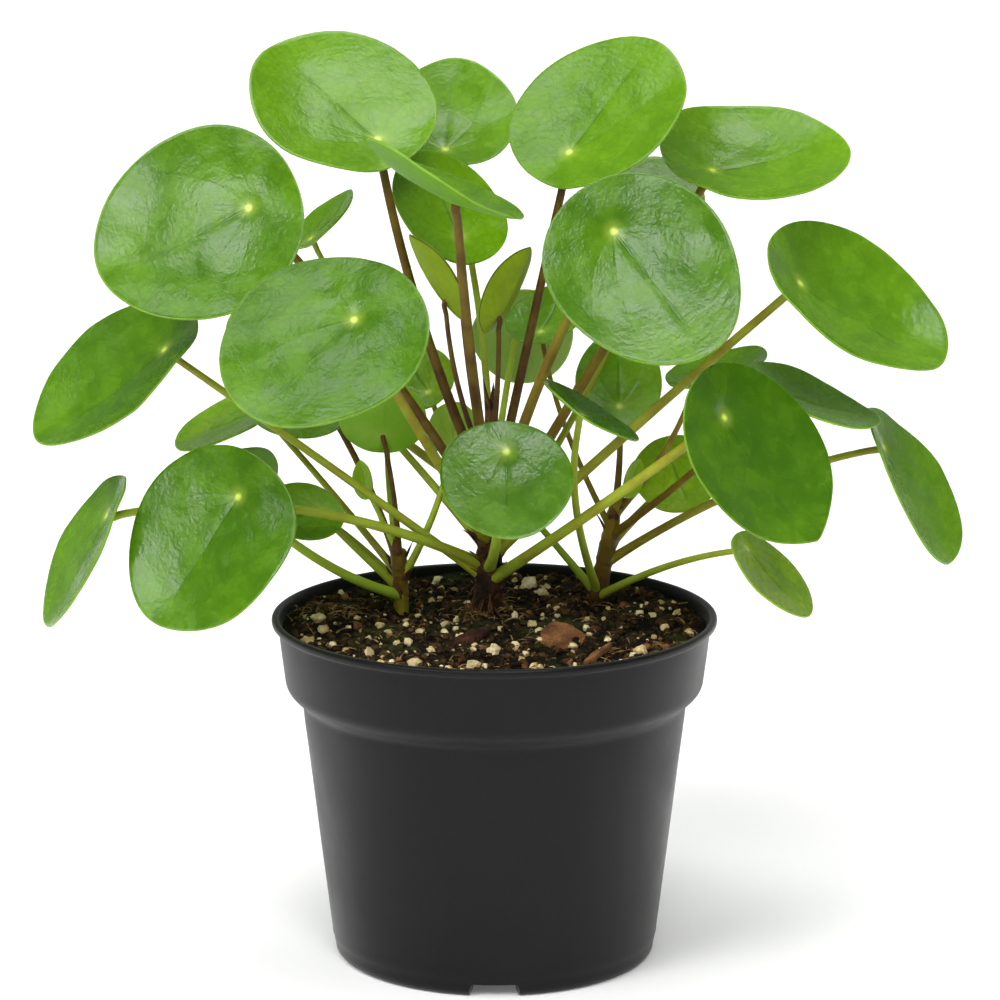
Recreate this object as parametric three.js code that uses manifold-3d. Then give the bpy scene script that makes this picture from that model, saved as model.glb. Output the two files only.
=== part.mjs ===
// A potted Chinese money plant (Pilea peperomioides) in a round black nursery pot.
// Millimetres, +Z up, +X to the right and +Y away from a person looking at the plant's front.
// The origin is the middle of the pot's foot, on the surface that the pot stands on.

import * as THREE from "three";
import { mergeVertices } from "three/addons/utils/BufferGeometryUtils.js";
import Module from "manifold-3d";

const wasm = await Module();
wasm.setup();

// Driving dimensions of the pot: a standard six-inch nursery pot with a stepped-out collar
const POT_HEIGHT = 119;
const RIM_RADIUS = 76.2;
const LIP_HEIGHT = 2.8;
const COLLAR_TOP_RADIUS = 73.8;
const COLLAR_FOOT_RADIUS = 71.6;
const COLLAR_FOOT_Z = 95.2;
const SHOULDER_RADIUS = 65.9;
const SHOULDER_Z = 89.4;
const BASE_RADIUS = 55.2;
const BASE_EDGE = 2.4;
const WALL = 1.6;
const FLOOR_UNDERSIDE = 5.2;
const FLOOR_TOP = 7.4;
const FOOT_RING_INNER = 45.5;
const POT_SEGMENTS = 48;
const NOTCHES = 4;
const NOTCH_HEIGHT = 4.4;
const NOTCH_TOP_WIDTH = 15;
const NOTCH_FOOT_WIDTH = 19;
const DRAIN_HOLE_RADIUS = 4;
const DRAIN_HOLE_RING = 36;

// Driving dimensions of the soil, which is heaped up a little around the main trunk and by the wall
const SOIL_EDGE_Z = 115.2;
const SOIL_HEAP = 1.4;
const SOIL_MOUNDS = [
  { at: [-2.5, 5], height: 3.5, radius: 9 },
  { at: [-58, 12], height: 2.5, radius: 9 },
];
const SOIL_GAP = 0.3;
const SOIL_SEGMENTS = 48;
const SOIL_RINGS = 7;
const STEM_HOLE_DEPTH = 22;

// A leaf blade's thickness, and the clear gap that a stalk keeps to the blade it carries
const BLADE_THICKNESS = 0.8;
const SEAT_GAP = 0.35;
// Share of a blade's length between its middle and the point where the stalk meets it
const HUB_SHIFT = 0.25;

// Rings of a blade's grid as shares of the way from hub to margin, and the sides of rods and chips
const BLADE_RINGS = [0.55, 1];
const TRUNK_SIDES = 10;
const STALK_SIDES = 6;
const STALK_STEPS = 7;
const CHIP_SIDES = 9;

// Rings of old leaf scars on a trunk, from this height over its foot on
const SCAR_START = 24;
const SCAR_STEP = 5;
const SCAR_DEPTH = 0.6;

// Pointed scales around the main trunk's growing tip, each with its length
const BRACTS = { length: [19, 15, 17, 13], radius: 2, spread: 0.16 };

// Leaf directions are given as a person sees them who looks at the front, down by this angle
const VIEW_DOWN = THREE.MathUtils.degToRad(12.7);
const VIEW_RIGHT = new THREE.Vector3(1, 0, 0);
const VIEW_UP = new THREE.Vector3(0, Math.sin(VIEW_DOWN), Math.cos(VIEW_DOWN));
const TO_VIEWER = new THREE.Vector3(0, -Math.cos(VIEW_DOWN), Math.sin(VIEW_DOWN));

// Three crowns of one plant. Each trunk runs from foot to top, its radius changing from first to last.
const CROWNS = {
  main: { foot: [-2.5, 6, 92], top: [-1, 5, 184], radius: [5.8, 3.3] },
  left: { foot: [-31, 16, 94], top: [-33, 13, 139], radius: [2.2, 2.9] },
  right: { foot: [31, 29, 94], top: [43, 24, 157], radius: [4, 2.3] },
};

// Every leaf, by crown. hub: where the stalk meets the blade. span: the blade's length and width.
// lean: the clock angle that the upper face leans to, and by how much it is turned from the viewer.
// tip: the clock angle of the blade's tip. from: height of the stalk's root on the trunk.
// stalk: its radius. bow: how far the stalk's middle stands off the straight line.
// cup: rise of the margin over the hub, and fold: rise of the two halves, as shares of half the width.
// seat: the hub's distance from the blade's middle as a share of its length, 0.25 where not given.
// taper: by how much the tip's half is narrower, below 0 where it is wider. point: how pointed the tip is.
// slant: lean of the outline to one side, and skew: by how much one side is wider, seen from the hub.
// twist: rise of one side of the tip over the other.
const LEAVES = [
  { id: "main_01", hub: [-39, 4, 282], span: [64, 65], lean: [76, 42], tip: 140, from: 158, stalk: 1.8,
    bow: [-4, -3, 0], cup: 0.12, fold: 0, seat: 0.28, taper: 0.03 },
  { id: "main_02", hub: [-17, 48, 272], span: [51, 47], lean: [88, 44], tip: 85, from: 160, stalk: 1.3,
    bow: [4, 12, 0], cup: 0.18, fold: 0, seat: 0.27, skew: -0.03, slant: -0.03 },
  { id: "main_03", hub: [-12, -46, 268], span: [57, 47], lean: [67, 84], tip: 157, from: 158, stalk: 1.9,
    bow: [-1, -4, 0], cup: 0.28, fold: 0, seat: 0.12, twist: 0.12, taper: -0.06 },
  { id: "main_04", hub: [-12, 15, 247], span: [45, 42], lean: [50, 42], tip: 115, from: 162, stalk: 1.4,
    bow: [-2, 3, 0], cup: 0.08, fold: 0, slant: 0.05 },
  { id: "main_05", hub: [-16, -9, 229], span: [34, 22], lean: [35, 109], tip: 125, from: 166, stalk: 1,
    bow: [-3, -3, 0], cup: 0.2, fold: 0.2, slant: -0.08, point: 0.5 },
  { id: "main_06", hub: [1, -6, 223], span: [33, 22], lean: [150, 118], tip: 59, from: 174, stalk: 1,
    bow: [1, -2, 0], cup: 0.2, fold: 0.2, seat: 0.3, skew: 0.04, slant: 0.08, point: 0.5 },
  { id: "main_07", hub: [25, 0, 278], span: [64, 62], lean: [120, 43], tip: 50, from: 152, stalk: 1.7,
    bow: [0, 0, 0], cup: 0.08, fold: 0.03, seat: 0.27, skew: -0.03 },
  { id: "main_08", hub: [74, 20, 269], span: [62, 63], lean: [82, 55], tip: 6, from: 144, stalk: 1.8,
    bow: [0, 3, 0], cup: 0.24, fold: 0, taper: 0.05, seat: 0.22, skew: -0.06, slant: -0.09 },
  { id: "main_09", hub: [39, -42, 258], span: [69, 61], lean: [60, 14], tip: 306, from: 144, stalk: 1.9,
    bow: [-4, 4, 0], cup: 0.08, fold: 0, taper: 0.12, slant: 0.04 },
  { id: "main_10", hub: [55, 38, 250], span: [36, 34], lean: [80, 40], tip: 85, from: 142, stalk: 1.3,
    bow: [6, 0, -2], cup: 0.08, fold: 0 },
  { id: "main_11", hub: [102, -14, 236], span: [71, 64], lean: [47, 57], tip: 323, from: 137, stalk: 1.8,
    bow: [0, 0, 1], cup: 0.26, fold: 0, seat: 0.26, skew: 0.07 },
  { id: "main_12", hub: [4, -44, 185], span: [42, 44], lean: [90, 22], tip: 270, from: 134, stalk: 1.8,
    bow: [0, -12, -5], cup: 0.04, fold: 0, taper: 0.08, slant: 0.04 },
  { id: "main_13", hub: [-81, -24, 263], span: [72, 67], lean: [133, 22], tip: 209, from: 148, stalk: 1.7,
    bow: [4, 0, 2], cup: 0.14, fold: 0, seat: 0.24, taper: 0.12, skew: -0.03 },
  { id: "main_14", hub: [-45, -70, 234], span: [69, 68], lean: [113, 36], tip: 226, from: 142, stalk: 1.8,
    bow: [-1, -6, 2], cup: 0.05, fold: 0, seat: 0.19, taper: 0.11, skew: -0.04, slant: -0.02 },
  { id: "main_15", hub: [-111, -6, 212], span: [68, 58], lean: [133, 57], tip: 220, from: 129, stalk: 1.5,
    bow: [-2, 0, 2], cup: 0.14, fold: 0.1, seat: 0.27, taper: 0.14, skew: -0.04, slant: -0.02 },
  { id: "main_16", hub: [-131, -12, 156], span: [57, 51], lean: [155, 69], tip: 246, from: 134, stalk: 1.7,
    bow: [0, -8, 13], cup: 0.1, fold: 0.1, seat: 0.24, taper: 0, skew: 0.09, slant: 0.04 },
  { id: "main_17", hub: [-63, 34, 243], span: [28, 27], lean: [131, 69], tip: 45, from: 154, stalk: 1.2,
    bow: [-4, 6, 0], cup: 0.1, fold: 0.1, seat: 0.3, point: 0.5 },
  { id: "main_18", hub: [-23, 46, 187], span: [27, 25], lean: [120, 35], tip: 125, from: 150, stalk: 1.2,
    bow: [-1, 4, -2], cup: 0.08, fold: 0 },
  { id: "main_19", hub: [8, 70, 208], span: [38, 36], lean: [100, 150], tip: 290, from: 158, stalk: 1.3,
    bow: [-1, 4, -6], cup: 0.06, fold: 0, seat: 0.2 },
  { id: "main_20", hub: [75, -56, 199], span: [67, 61], lean: [29, 45], tip: 302, from: 129, stalk: 1.9,
    bow: [0, -8, 1], cup: 0.11, fold: 0, skew: 0.04, point: 0.5 },
  { id: "main_21", hub: [-50, 42, 188], span: [32, 30], lean: [100, 35], tip: 130, from: 139, stalk: 1.5,
    bow: [0, 4, 0], cup: 0.08, fold: 0 },
  { id: "main_22", hub: [44, 78, 214], span: [50, 46], lean: [70, 112], tip: 60, from: 146, stalk: 1.6,
    bow: [2, 2, -2], cup: 0.1, fold: 0 },
  { id: "main_23", hub: [-70, 88, 199], span: [50, 47], lean: [110, 115], tip: 120, from: 157, stalk: 1.6,
    bow: [-8, 8, 0], cup: 0.1, fold: 0 },
  { id: "left_01", hub: [-85, -36, 168], span: [65, 61], lean: [151, 32], tip: 238, from: 122, stalk: 1.7,
    bow: [0, 0, -5], cup: 0.06, fold: 0, seat: 0.27, taper: 0.12 },
  { id: "left_02", hub: [-82, 46, 181], span: [44, 39], lean: [118, 68], tip: 206, from: 129, stalk: 1.3,
    bow: [0, 3, 0], cup: 0.12, fold: 0, seat: 0.23, slant: 0.08 },
  { id: "left_03", hub: [-60, 30, 189], span: [36, 36], lean: [80, 40], tip: 200, from: 131, stalk: 1.3,
    bow: [2, 4, 0], cup: 0.08, fold: 0 },
  { id: "left_04", hub: [-38, 10, 179], span: [28, 30], lean: [90, 150], tip: 90, from: 135, stalk: 1,
    bow: [1, 0, 0], cup: 0.08, fold: 0 },
  { id: "left_05", hub: [-59, 5, 153], span: [29, 28], lean: [80, 46], tip: 190, from: 124, stalk: 1.3,
    bow: [0, -2, 0], cup: 0.1, fold: 0.12 },
  { id: "left_06", hub: [-44, 12, 160], span: [14, 9], lean: [180, 40], tip: 100, from: 137, stalk: 0.9,
    bow: [0, 0, 0], cup: 0.1, fold: 0.2, seat: 0.23, point: 0.4 },
  { id: "left_07", hub: [-14, 22, 174], span: [20, 18], lean: [90, 20], tip: 90, from: 127, stalk: 1.3,
    bow: [2, -6, 0], cup: 0.08, fold: 0 },
  { id: "left_08", hub: [-38, 72, 192], span: [34, 32], lean: [100, 130], tip: 110, from: 134, stalk: 1.2,
    bow: [-2, 6, -4], cup: 0.08, fold: 0 },
  { id: "left_09", hub: [-86, 58, 152], span: [46, 43], lean: [120, 120], tip: 200, from: 125, stalk: 1.5,
    bow: [0, 4, 4], cup: 0.1, fold: 0 },
  { id: "right_01", hub: [16, 32, 211], span: [32, 30], lean: [110, 55], tip: 60, from: 143, stalk: 1,
    bow: [-4, 0, 2], cup: 0.15, fold: 0 },
  { id: "right_02", hub: [43, 26, 186], span: [40, 30], lean: [95, 34], tip: 90, from: 148, stalk: 1.2,
    bow: [1, 0, 0], cup: 0.1, fold: 0 },
  { id: "right_03", hub: [29, -32, 195], span: [37, 34], lean: [57, 80], tip: 327, from: 120, stalk: 1.4,
    bow: [-5, -6, 3], cup: 0.16, fold: 0, seat: 0.05 },
  { id: "right_04", hub: [68, 16, 196], span: [36, 34], lean: [100, 72], tip: 12, from: 148, stalk: 1.1,
    bow: [4, 0, 0], cup: 0.25, fold: 0, skew: 0.03 },
  { id: "right_05", hub: [95, -10, 199], span: [47, 39], lean: [66, 68], tip: 338, from: 140, stalk: 1.3,
    bow: [2, -4, 0], cup: 0.16, fold: 0, seat: 0.26, taper: 0.18, skew: -0.06, slant: -0.13 },
  { id: "right_06", hub: [133, 10, 175], span: [60, 53], lean: [25, 68], tip: 295, from: 130, stalk: 1.5,
    bow: [0, 0, 6], cup: 0.1, fold: 0.12, seat: 0.26, slant: 0.06, skew: 0.03, taper: 0 },
  { id: "right_07", hub: [61, 41, 165], span: [32, 30], lean: [100, 28], tip: 290, from: 146, stalk: 1,
    bow: [-1, 10, -3], cup: 0.08, fold: 0 },
  { id: "right_08", hub: [85, -18, 146], span: [37, 35], lean: [42, 63], tip: 310, from: 118, stalk: 1.3,
    bow: [0, -4, 4], cup: 0.06, fold: 0, seat: 0.33, skew: 0.04, slant: 0.03, taper: 0 },
  { id: "right_09", hub: [46, 14, 160], span: [15, 9], lean: [0, 45], tip: 70, from: 152, stalk: 0.8,
    bow: [0, 0, 0], cup: 0.1, fold: 0.2, point: 0.4 },
  { id: "right_10", hub: [7, 34, 152], span: [26, 24], lean: [110, 40], tip: 180, from: 119, stalk: 1.3,
    bow: [-3, 0, 4], cup: 0.1, fold: 0 },
  { id: "right_11", hub: [84, 64, 165], span: [50, 46], lean: [60, 115], tip: 20, from: 136, stalk: 1.5,
    bow: [2, 6, 4], cup: 0.1, fold: 0 },
];

// Bark chips and a twig that lie on the soil: size along, across and thick, place, turn in plan, and
// the angles by which the end on the right and the far side are raised
const CHIPS = [
  { id: "bark_chip_round", size: [15, 14, 2.2], at: [22.5, -28], turn: 8, rise: 0, lean: 18 },
  { id: "bark_chip_long", size: [18, 5.4, 2.4], at: [-9, -28], turn: 25, rise: 13, lean: 8 },
  { id: "bark_twig", size: [14, 2.6, 2.2], at: [34, -46], turn: 50, rise: 17, lean: 0 },
];

// Finishes read from the photo: colour and roughness
const PLASTIC = [0x36383a, 0.5];
const SOIL_BROWN = [0x2a1f17, 0.95];
const BARK = [0x7a4630, 0.85];
const STALK_BROWN = [0x7d6229, 0.5];
const STALK_OLIVE = [0x8a8a35, 0.5];
const LEAF_GREEN = [0x4f9a26, 0.35];
const YOUNG_GREEN = [0x6e8a1c, 0.4];

function named(name, geometry, [color, roughness]) {
  const look = new THREE.MeshStandardMaterial({ color, roughness, metalness: 0 });
  const mesh = new THREE.Mesh(geometry, look);
  mesh.name = name;
  return mesh;
}

// A closed geometry as a solid body, for joining and cutting
function solid(geometry) {
  const bare = geometry.clone();
  bare.deleteAttribute("normal");
  bare.deleteAttribute("uv");
  const merged = mergeVertices(bare, 1e-4);
  return new wasm.Manifold(
    new wasm.Mesh({
      numProp: 3,
      vertProperties: new Float32Array(merged.attributes.position.array),
      triVerts: new Uint32Array(merged.index.array),
    }),
  );
}

function geometryOf(body) {
  const mesh = body.getMesh();
  const geometry = new THREE.BufferGeometry();
  geometry.setAttribute("position", new THREE.BufferAttribute(mesh.vertProperties, 3));
  geometry.setIndex(new THREE.BufferAttribute(mesh.triVerts, 1));
  geometry.computeVertexNormals();
  return geometry;
}

// A solid of revolution about Z from points [radius, z] that start and end on the axis
function turned(points, segments) {
  const profile = points.map(([r, z]) => new THREE.Vector2(r, z));
  return new THREE.LatheGeometry(profile, segments).rotateX(Math.PI / 2);
}

// Points [radius, z] of an arc about a centre, from one angle to another
function arc(centre, radius, fromDeg, toDeg, steps) {
  const points = [];
  for (let i = 0; i <= steps; i++) {
    const a = THREE.MathUtils.degToRad(fromDeg + ((toDeg - fromDeg) * i) / steps);
    points.push([centre[0] + radius * Math.cos(a), centre[1] + radius * Math.sin(a)]);
  }
  return points;
}

// The pot: one moulded wall with a raised floor, a foot ring, a stepped-out collar and a thin lip
function potGeometry() {
  const lipRadius = LIP_HEIGHT / 2;
  const lipCentre = [RIM_RADIUS - lipRadius, POT_HEIGHT - lipRadius];
  const wallFootRadius = BASE_RADIUS - WALL;
  const profile = [
    [0, FLOOR_UNDERSIDE],
    [FOOT_RING_INNER, FLOOR_UNDERSIDE],
    [FOOT_RING_INNER + 0.8, 0],
    ...arc([BASE_RADIUS - BASE_EDGE, BASE_EDGE], BASE_EDGE, -90, 0, 3),
    [SHOULDER_RADIUS, SHOULDER_Z],
    [COLLAR_FOOT_RADIUS - 2.4, COLLAR_FOOT_Z - 3.6],
    [COLLAR_FOOT_RADIUS - 0.6, COLLAR_FOOT_Z - 1],
    [COLLAR_FOOT_RADIUS, COLLAR_FOOT_Z + 1.4],
    [COLLAR_TOP_RADIUS, POT_HEIGHT - LIP_HEIGHT - 1],
    ...arc(lipCentre, lipRadius, -50, 180, 6),
    [COLLAR_TOP_RADIUS - WALL, POT_HEIGHT - LIP_HEIGHT - 1],
    [COLLAR_FOOT_RADIUS - WALL, COLLAR_FOOT_Z + 1.8],
    [SHOULDER_RADIUS - WALL, SHOULDER_Z + 1.2],
    [wallFootRadius, FLOOR_TOP + 1],
    [wallFootRadius - 1.4, FLOOR_TOP],
    [0, FLOOR_TOP],
  ];
  let pot = solid(turned(profile, POT_SEGMENTS));
  for (let i = 0; i < NOTCHES; i++) {
    const turn = (i * 2 * Math.PI) / NOTCHES;
    pot = pot.subtract(solid(notchCutter().rotateZ(turn)));
    pot = pot.subtract(solid(drainCutter().rotateZ(turn)));
  }
  return geometryOf(pot);
}

// Slot through the foot ring, wider at the surface that the pot stands on
function notchCutter() {
  const flare = (NOTCH_FOOT_WIDTH - NOTCH_TOP_WIDTH) / 2 / NOTCH_HEIGHT;
  const below = 1;
  const slot = new THREE.Shape([
    new THREE.Vector2(-NOTCH_FOOT_WIDTH / 2 - flare * below, -below),
    new THREE.Vector2(NOTCH_FOOT_WIDTH / 2 + flare * below, -below),
    new THREE.Vector2(NOTCH_TOP_WIDTH / 2, NOTCH_HEIGHT),
    new THREE.Vector2(-NOTCH_TOP_WIDTH / 2, NOTCH_HEIGHT),
  ]);
  const depth = BASE_RADIUS - FOOT_RING_INNER + 8;
  const cutter = new THREE.ExtrudeGeometry(slot, { depth, bevelEnabled: false });
  return cutter.rotateX(Math.PI / 2).translate(0, -FOOT_RING_INNER + 4, 0);
}

// Round drain hole through the raised floor, behind each slot
function drainCutter() {
  const height = FLOOR_TOP - FLOOR_UNDERSIDE + 4;
  const hole = new THREE.CylinderGeometry(DRAIN_HOLE_RADIUS, DRAIN_HOLE_RADIUS, height, 12);
  return hole.rotateX(Math.PI / 2).translate(0, -DRAIN_HOLE_RING, (FLOOR_TOP + FLOOR_UNDERSIDE) / 2);
}

// Height of the soil's surface: a low heap in the pot's middle, with uneven hollows and two mounds
function soilHeight(x, y) {
  const share = Math.hypot(x, y) / COLLAR_TOP_RADIUS;
  const heap = SOIL_HEAP * (1 - share * share);
  const hollows = 0.6 * Math.sin(x / 9 + 1.2) * Math.cos(y / 8 - 0.4) + 0.3 * Math.sin((x - y) / 5.2);
  let mounds = 0;
  for (const { at, height, radius } of SOIL_MOUNDS) {
    mounds += height * Math.exp(-((x - at[0]) ** 2 + (y - at[1]) ** 2) / radius ** 2);
  }
  return SOIL_EDGE_Z + heap + hollows + mounds;
}

// The soil fills the pot a small gap clear of its wall, and has a plain hole for each trunk
function soilBody() {
  const gap = SOIL_GAP;
  const wallFootRadius = BASE_RADIUS - WALL - gap;
  const edge = COLLAR_TOP_RADIUS - WALL - gap - 0.1;
  const profile = [
    [0, FLOOR_TOP + gap],
    [wallFootRadius - 1.4, FLOOR_TOP + gap],
    [wallFootRadius, FLOOR_TOP + 1 + gap],
    [SHOULDER_RADIUS - WALL - gap, SHOULDER_Z + 1.2 + gap],
    [COLLAR_FOOT_RADIUS - WALL - gap, COLLAR_FOOT_Z + 1.8 + gap],
  ];
  for (let i = SOIL_RINGS; i >= 0; i--) {
    profile.push([(edge * i) / SOIL_RINGS, SOIL_EDGE_Z]);
  }
  const geometry = turned(profile, SOIL_SEGMENTS);
  const place = geometry.attributes.position;
  for (let i = 0; i < place.count; i++) {
    if (place.getZ(i) > SOIL_EDGE_Z - 0.01) {
      place.setZ(i, soilHeight(place.getX(i), place.getY(i)));
    }
  }
  let soil = solid(geometry);
  for (const crown of Object.values(CROWNS)) {
    soil = soil.subtract(solid(trunkHole(crown)));
  }
  return soil;
}

// Turn and move a geometry that stands on the origin along Z so that it runs along a trunk
function alongTrunk(geometry, crown) {
  const foot = new THREE.Vector3(...crown.foot);
  const axis = new THREE.Vector3(...crown.top).sub(foot).normalize();
  const turn = new THREE.Quaternion().setFromUnitVectors(new THREE.Vector3(0, 0, 1), axis);
  return geometry.applyQuaternion(turn).translate(foot.x, foot.y, foot.z);
}

function trunkLength(crown) {
  return new THREE.Vector3(...crown.top).distanceTo(new THREE.Vector3(...crown.foot));
}

// A trunk with rings of old leaf scars above the soil, closed at both ends
function trunkGeometry(crown) {
  const [footRadius, topRadius] = crown.radius;
  const length = trunkLength(crown);
  const points = [
    [0, 0],
    [footRadius, 0],
  ];
  for (let z = SCAR_START; z < length - 2; z += SCAR_STEP) {
    const radius = THREE.MathUtils.lerp(footRadius, topRadius, z / length);
    points.push([radius - SCAR_DEPTH / 2, z]);
    points.push([radius + SCAR_DEPTH / 2, z + SCAR_STEP * 0.6]);
  }
  points.push([topRadius, length]);
  points.push([topRadius * 0.5, length + topRadius * 0.6]);
  points.push([0, length + topRadius * 0.8]);
  return alongTrunk(turned(points, TRUNK_SIDES), crown);
}

// Plain round hole that a trunk stands in, clear of it all round and below
function trunkHole(crown) {
  const radius = crown.radius[0] + SCAR_DEPTH / 2 + SOIL_GAP;
  const length = STEM_HOLE_DEPTH + 30;
  const hole = new THREE.CylinderGeometry(radius, radius, length, TRUNK_SIDES);
  hole.rotateX(Math.PI / 2).translate(0, 0, length / 2 - SOIL_GAP);
  return alongTrunk(hole, crown);
}

// Point on a trunk's middle line at a height
function trunkPoint(crown, z) {
  const foot = new THREE.Vector3(...crown.foot);
  const top = new THREE.Vector3(...crown.top);
  return foot.lerp(top, (z - foot.z) / (top.z - foot.z));
}

// Directions of a blade: out of its upper face, from its hub to its tip, and across it
function bladeFrame(leaf) {
  const lean = THREE.MathUtils.degToRad(leaf.lean[0]);
  const turn = THREE.MathUtils.degToRad(leaf.lean[1]);
  const tip = THREE.MathUtils.degToRad(leaf.tip);
  const clock = (angle) =>
    VIEW_RIGHT.clone().multiplyScalar(Math.cos(angle)).addScaledVector(VIEW_UP, Math.sin(angle));
  const facing = TO_VIEWER.clone().multiplyScalar(Math.cos(turn));
  const normal = facing.addScaledVector(clock(lean), Math.sin(turn));
  const along = clock(tip).addScaledVector(TO_VIEWER, -Math.tan(turn) * Math.cos(tip - lean)).normalize();
  const across = normal.clone().cross(along);
  return { normal, along, across };
}

// A stalk: a six-sided rod on a bent line from the trunk to just under its blade's hub
function stalkGeometry(leaf, crown) {
  const hub = new THREE.Vector3(...leaf.hub);
  const root = trunkPoint(crown, leaf.from);
  const middle = root.clone().add(hub).multiplyScalar(0.5).addScaledVector(new THREE.Vector3(...leaf.bow), 2);
  const { normal } = bladeFrame(leaf);
  const slope = hub.clone().sub(middle).normalize().dot(normal);
  const reach = leaf.stalk * Math.sqrt(Math.max(0, 1 - slope * slope));
  const end = hub.clone().addScaledVector(normal, -(BLADE_THICKNESS / 2 + SEAT_GAP + reach));
  const line = new THREE.QuadraticBezierCurve3(root, middle, end);
  const corners = [];
  for (let i = 0; i < STALK_SIDES; i++) {
    const a = (i * 2 * Math.PI) / STALK_SIDES;
    corners.push(new THREE.Vector2(leaf.stalk * Math.cos(a), leaf.stalk * Math.sin(a)));
  }
  const options = { steps: STALK_STEPS, extrudePath: line, bevelEnabled: false };
  return new THREE.ExtrudeGeometry(new THREE.Shape(corners), options);
}

// Pointed brown scales that stand around the growing tip of the main trunk
function bractGeometry(crown, i) {
  const { length, radius, spread } = BRACTS;
  const scale = new THREE.CylinderGeometry(0.4, radius, length[i], 6);
  scale.rotateX(Math.PI / 2).translate(0, 0, length[i] / 2);
  scale.rotateY(spread).rotateZ(1 + (i * 2 * Math.PI) / length.length);
  scale.translate(0, 0, trunkLength(crown) - 3);
  return alongTrunk(scale, crown);
}

// One crown: its trunk with all its stalks grown together
function stemsGeometry(name) {
  const crown = CROWNS[name];
  let stems = solid(trunkGeometry(crown));
  for (const leaf of leavesOf(name)) {
    stems = stems.add(solid(stalkGeometry(leaf, crown)));
  }
  if (name === "main") {
    for (let i = 0; i < BRACTS.length.length; i++) {
      stems = stems.add(solid(bractGeometry(crown, i)));
    }
  }
  return geometryOf(stems);
}

function leavesOf(name) {
  return LEAVES.filter((leaf) => leaf.id.startsWith(name));
}

// Rise of a blade's surface over its hub, for a point along and across the blade
function bladeRise(leaf, x, y) {
  const [length, width] = leaf.span;
  const { cup, fold, twist = 0 } = leaf;
  const middle = hubAlong(leaf) / 2;
  const bowl = ((x - middle) / (length / 2)) ** 2 + (y / (width / 2)) ** 2;
  const crease = Math.hypot(y, 0.08 * width);
  return cup * (width / 2) * bowl + fold * crease + (twist * x * y) / (width / 2);
}

function hubAlong(leaf) {
  return -(leaf.seat ?? HUB_SHIFT) * leaf.span[0];
}

// Point of a blade's outline at an angle from its tip: an ellipse that is tapered, slanted and skewed
function bladeOutline(leaf, angle) {
  const [length, width] = leaf.span;
  const { taper = 0.06, point = 0, slant = 0, skew = 0 } = leaf;
  const acute = Math.abs(Math.sin(angle)) ** ((point * (1 + Math.cos(angle))) / 2);
  const y = (width / 2) * Math.sin(angle) * acute * (1 - taper * Math.cos(angle));
  return [(length / 2) * Math.cos(angle) + slant * y, y + (skew * width) / 2];
}

// A blade: rings of points around the hub out to a rounded outline, alike on both faces
function bladeGeometry(leaf) {
  const { normal, along, across } = bladeFrame(leaf);
  const sectors = leaf.span[0] > 54 ? 18 : leaf.span[0] > 24 ? 14 : 10;
  const hub = new THREE.Vector3(...leaf.hub);
  const hubX = hubAlong(leaf);
  const hubRise = bladeRise(leaf, hubX, 0);
  const points = [];
  const put = (x, y, side) => {
    const rise = bladeRise(leaf, x, y) - hubRise + (side * BLADE_THICKNESS) / 2;
    const point = hub.clone().addScaledVector(along, x - hubX);
    point.addScaledVector(across, y).addScaledVector(normal, rise);
    points.push(point.x, point.y, point.z);
  };
  for (const side of [1, -1]) {
    put(hubX, 0, side);
    for (const reach of BLADE_RINGS) {
      for (let i = 0; i < sectors; i++) {
        const [outX, outY] = bladeOutline(leaf, (i * 2 * Math.PI) / sectors);
        put(hubX + reach * (outX - hubX), reach * outY, side);
      }
    }
  }
  const geometry = new THREE.BufferGeometry();
  geometry.setAttribute("position", new THREE.Float32BufferAttribute(points, 3));
  geometry.setIndex(bladeFaces(sectors));
  geometry.computeVertexNormals();
  return geometry;
}

// Triangles of a blade: a fan about the hub, bands between rings, and the rim that joins both faces
function bladeFaces(sectors) {
  const faces = [];
  const under = 1 + BLADE_RINGS.length * sectors;
  const both = (a, b, c) => {
    faces.push(a, b, c);
    faces.push(under + a, under + c, under + b);
  };
  for (let i = 0; i < sectors; i++) {
    const next = (i + 1) % sectors;
    both(0, 1 + i, 1 + next);
    for (let ring = 1; ring < BLADE_RINGS.length; ring++) {
      const inner = 1 + (ring - 1) * sectors;
      const outer = inner + sectors;
      both(inner + i, outer + i, outer + next);
      both(inner + i, outer + next, inner + next);
    }
    const rim = 1 + (BLADE_RINGS.length - 1) * sectors;
    faces.push(rim + i, under + rim + i, rim + next);
    faces.push(rim + next, under + rim + i, under + rim + next);
  }
  return faces;
}

// A chip: an uneven slab that lies on the soil, its underside cut to the soil's surface
function chipGeometry({ size, at, turn, rise, lean }, soil) {
  const [long, wide, thick] = size;
  const corners = [];
  for (let i = 0; i < CHIP_SIDES; i++) {
    const a = (i * 2 * Math.PI) / CHIP_SIDES;
    const uneven = 1 + 0.1 * Math.sin(3 * i + long);
    corners.push(new THREE.Vector2((long / 2) * uneven * Math.cos(a), (wide / 2) * uneven * Math.sin(a)));
  }
  const sunk = 1.5;
  const slab = new THREE.ExtrudeGeometry(new THREE.Shape(corners), {
    depth: thick + sunk,
    bevelEnabled: false,
  });
  slab.rotateX(THREE.MathUtils.degToRad(lean));
  slab.rotateY(THREE.MathUtils.degToRad(-rise));
  slab.rotateZ(THREE.MathUtils.degToRad(turn));
  slab.translate(at[0], at[1], soilHeight(at[0], at[1]) - sunk + SOIL_GAP);
  return geometryOf(solid(slab).subtract(soil.translate([0, 0, SOIL_GAP])));
}

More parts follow.
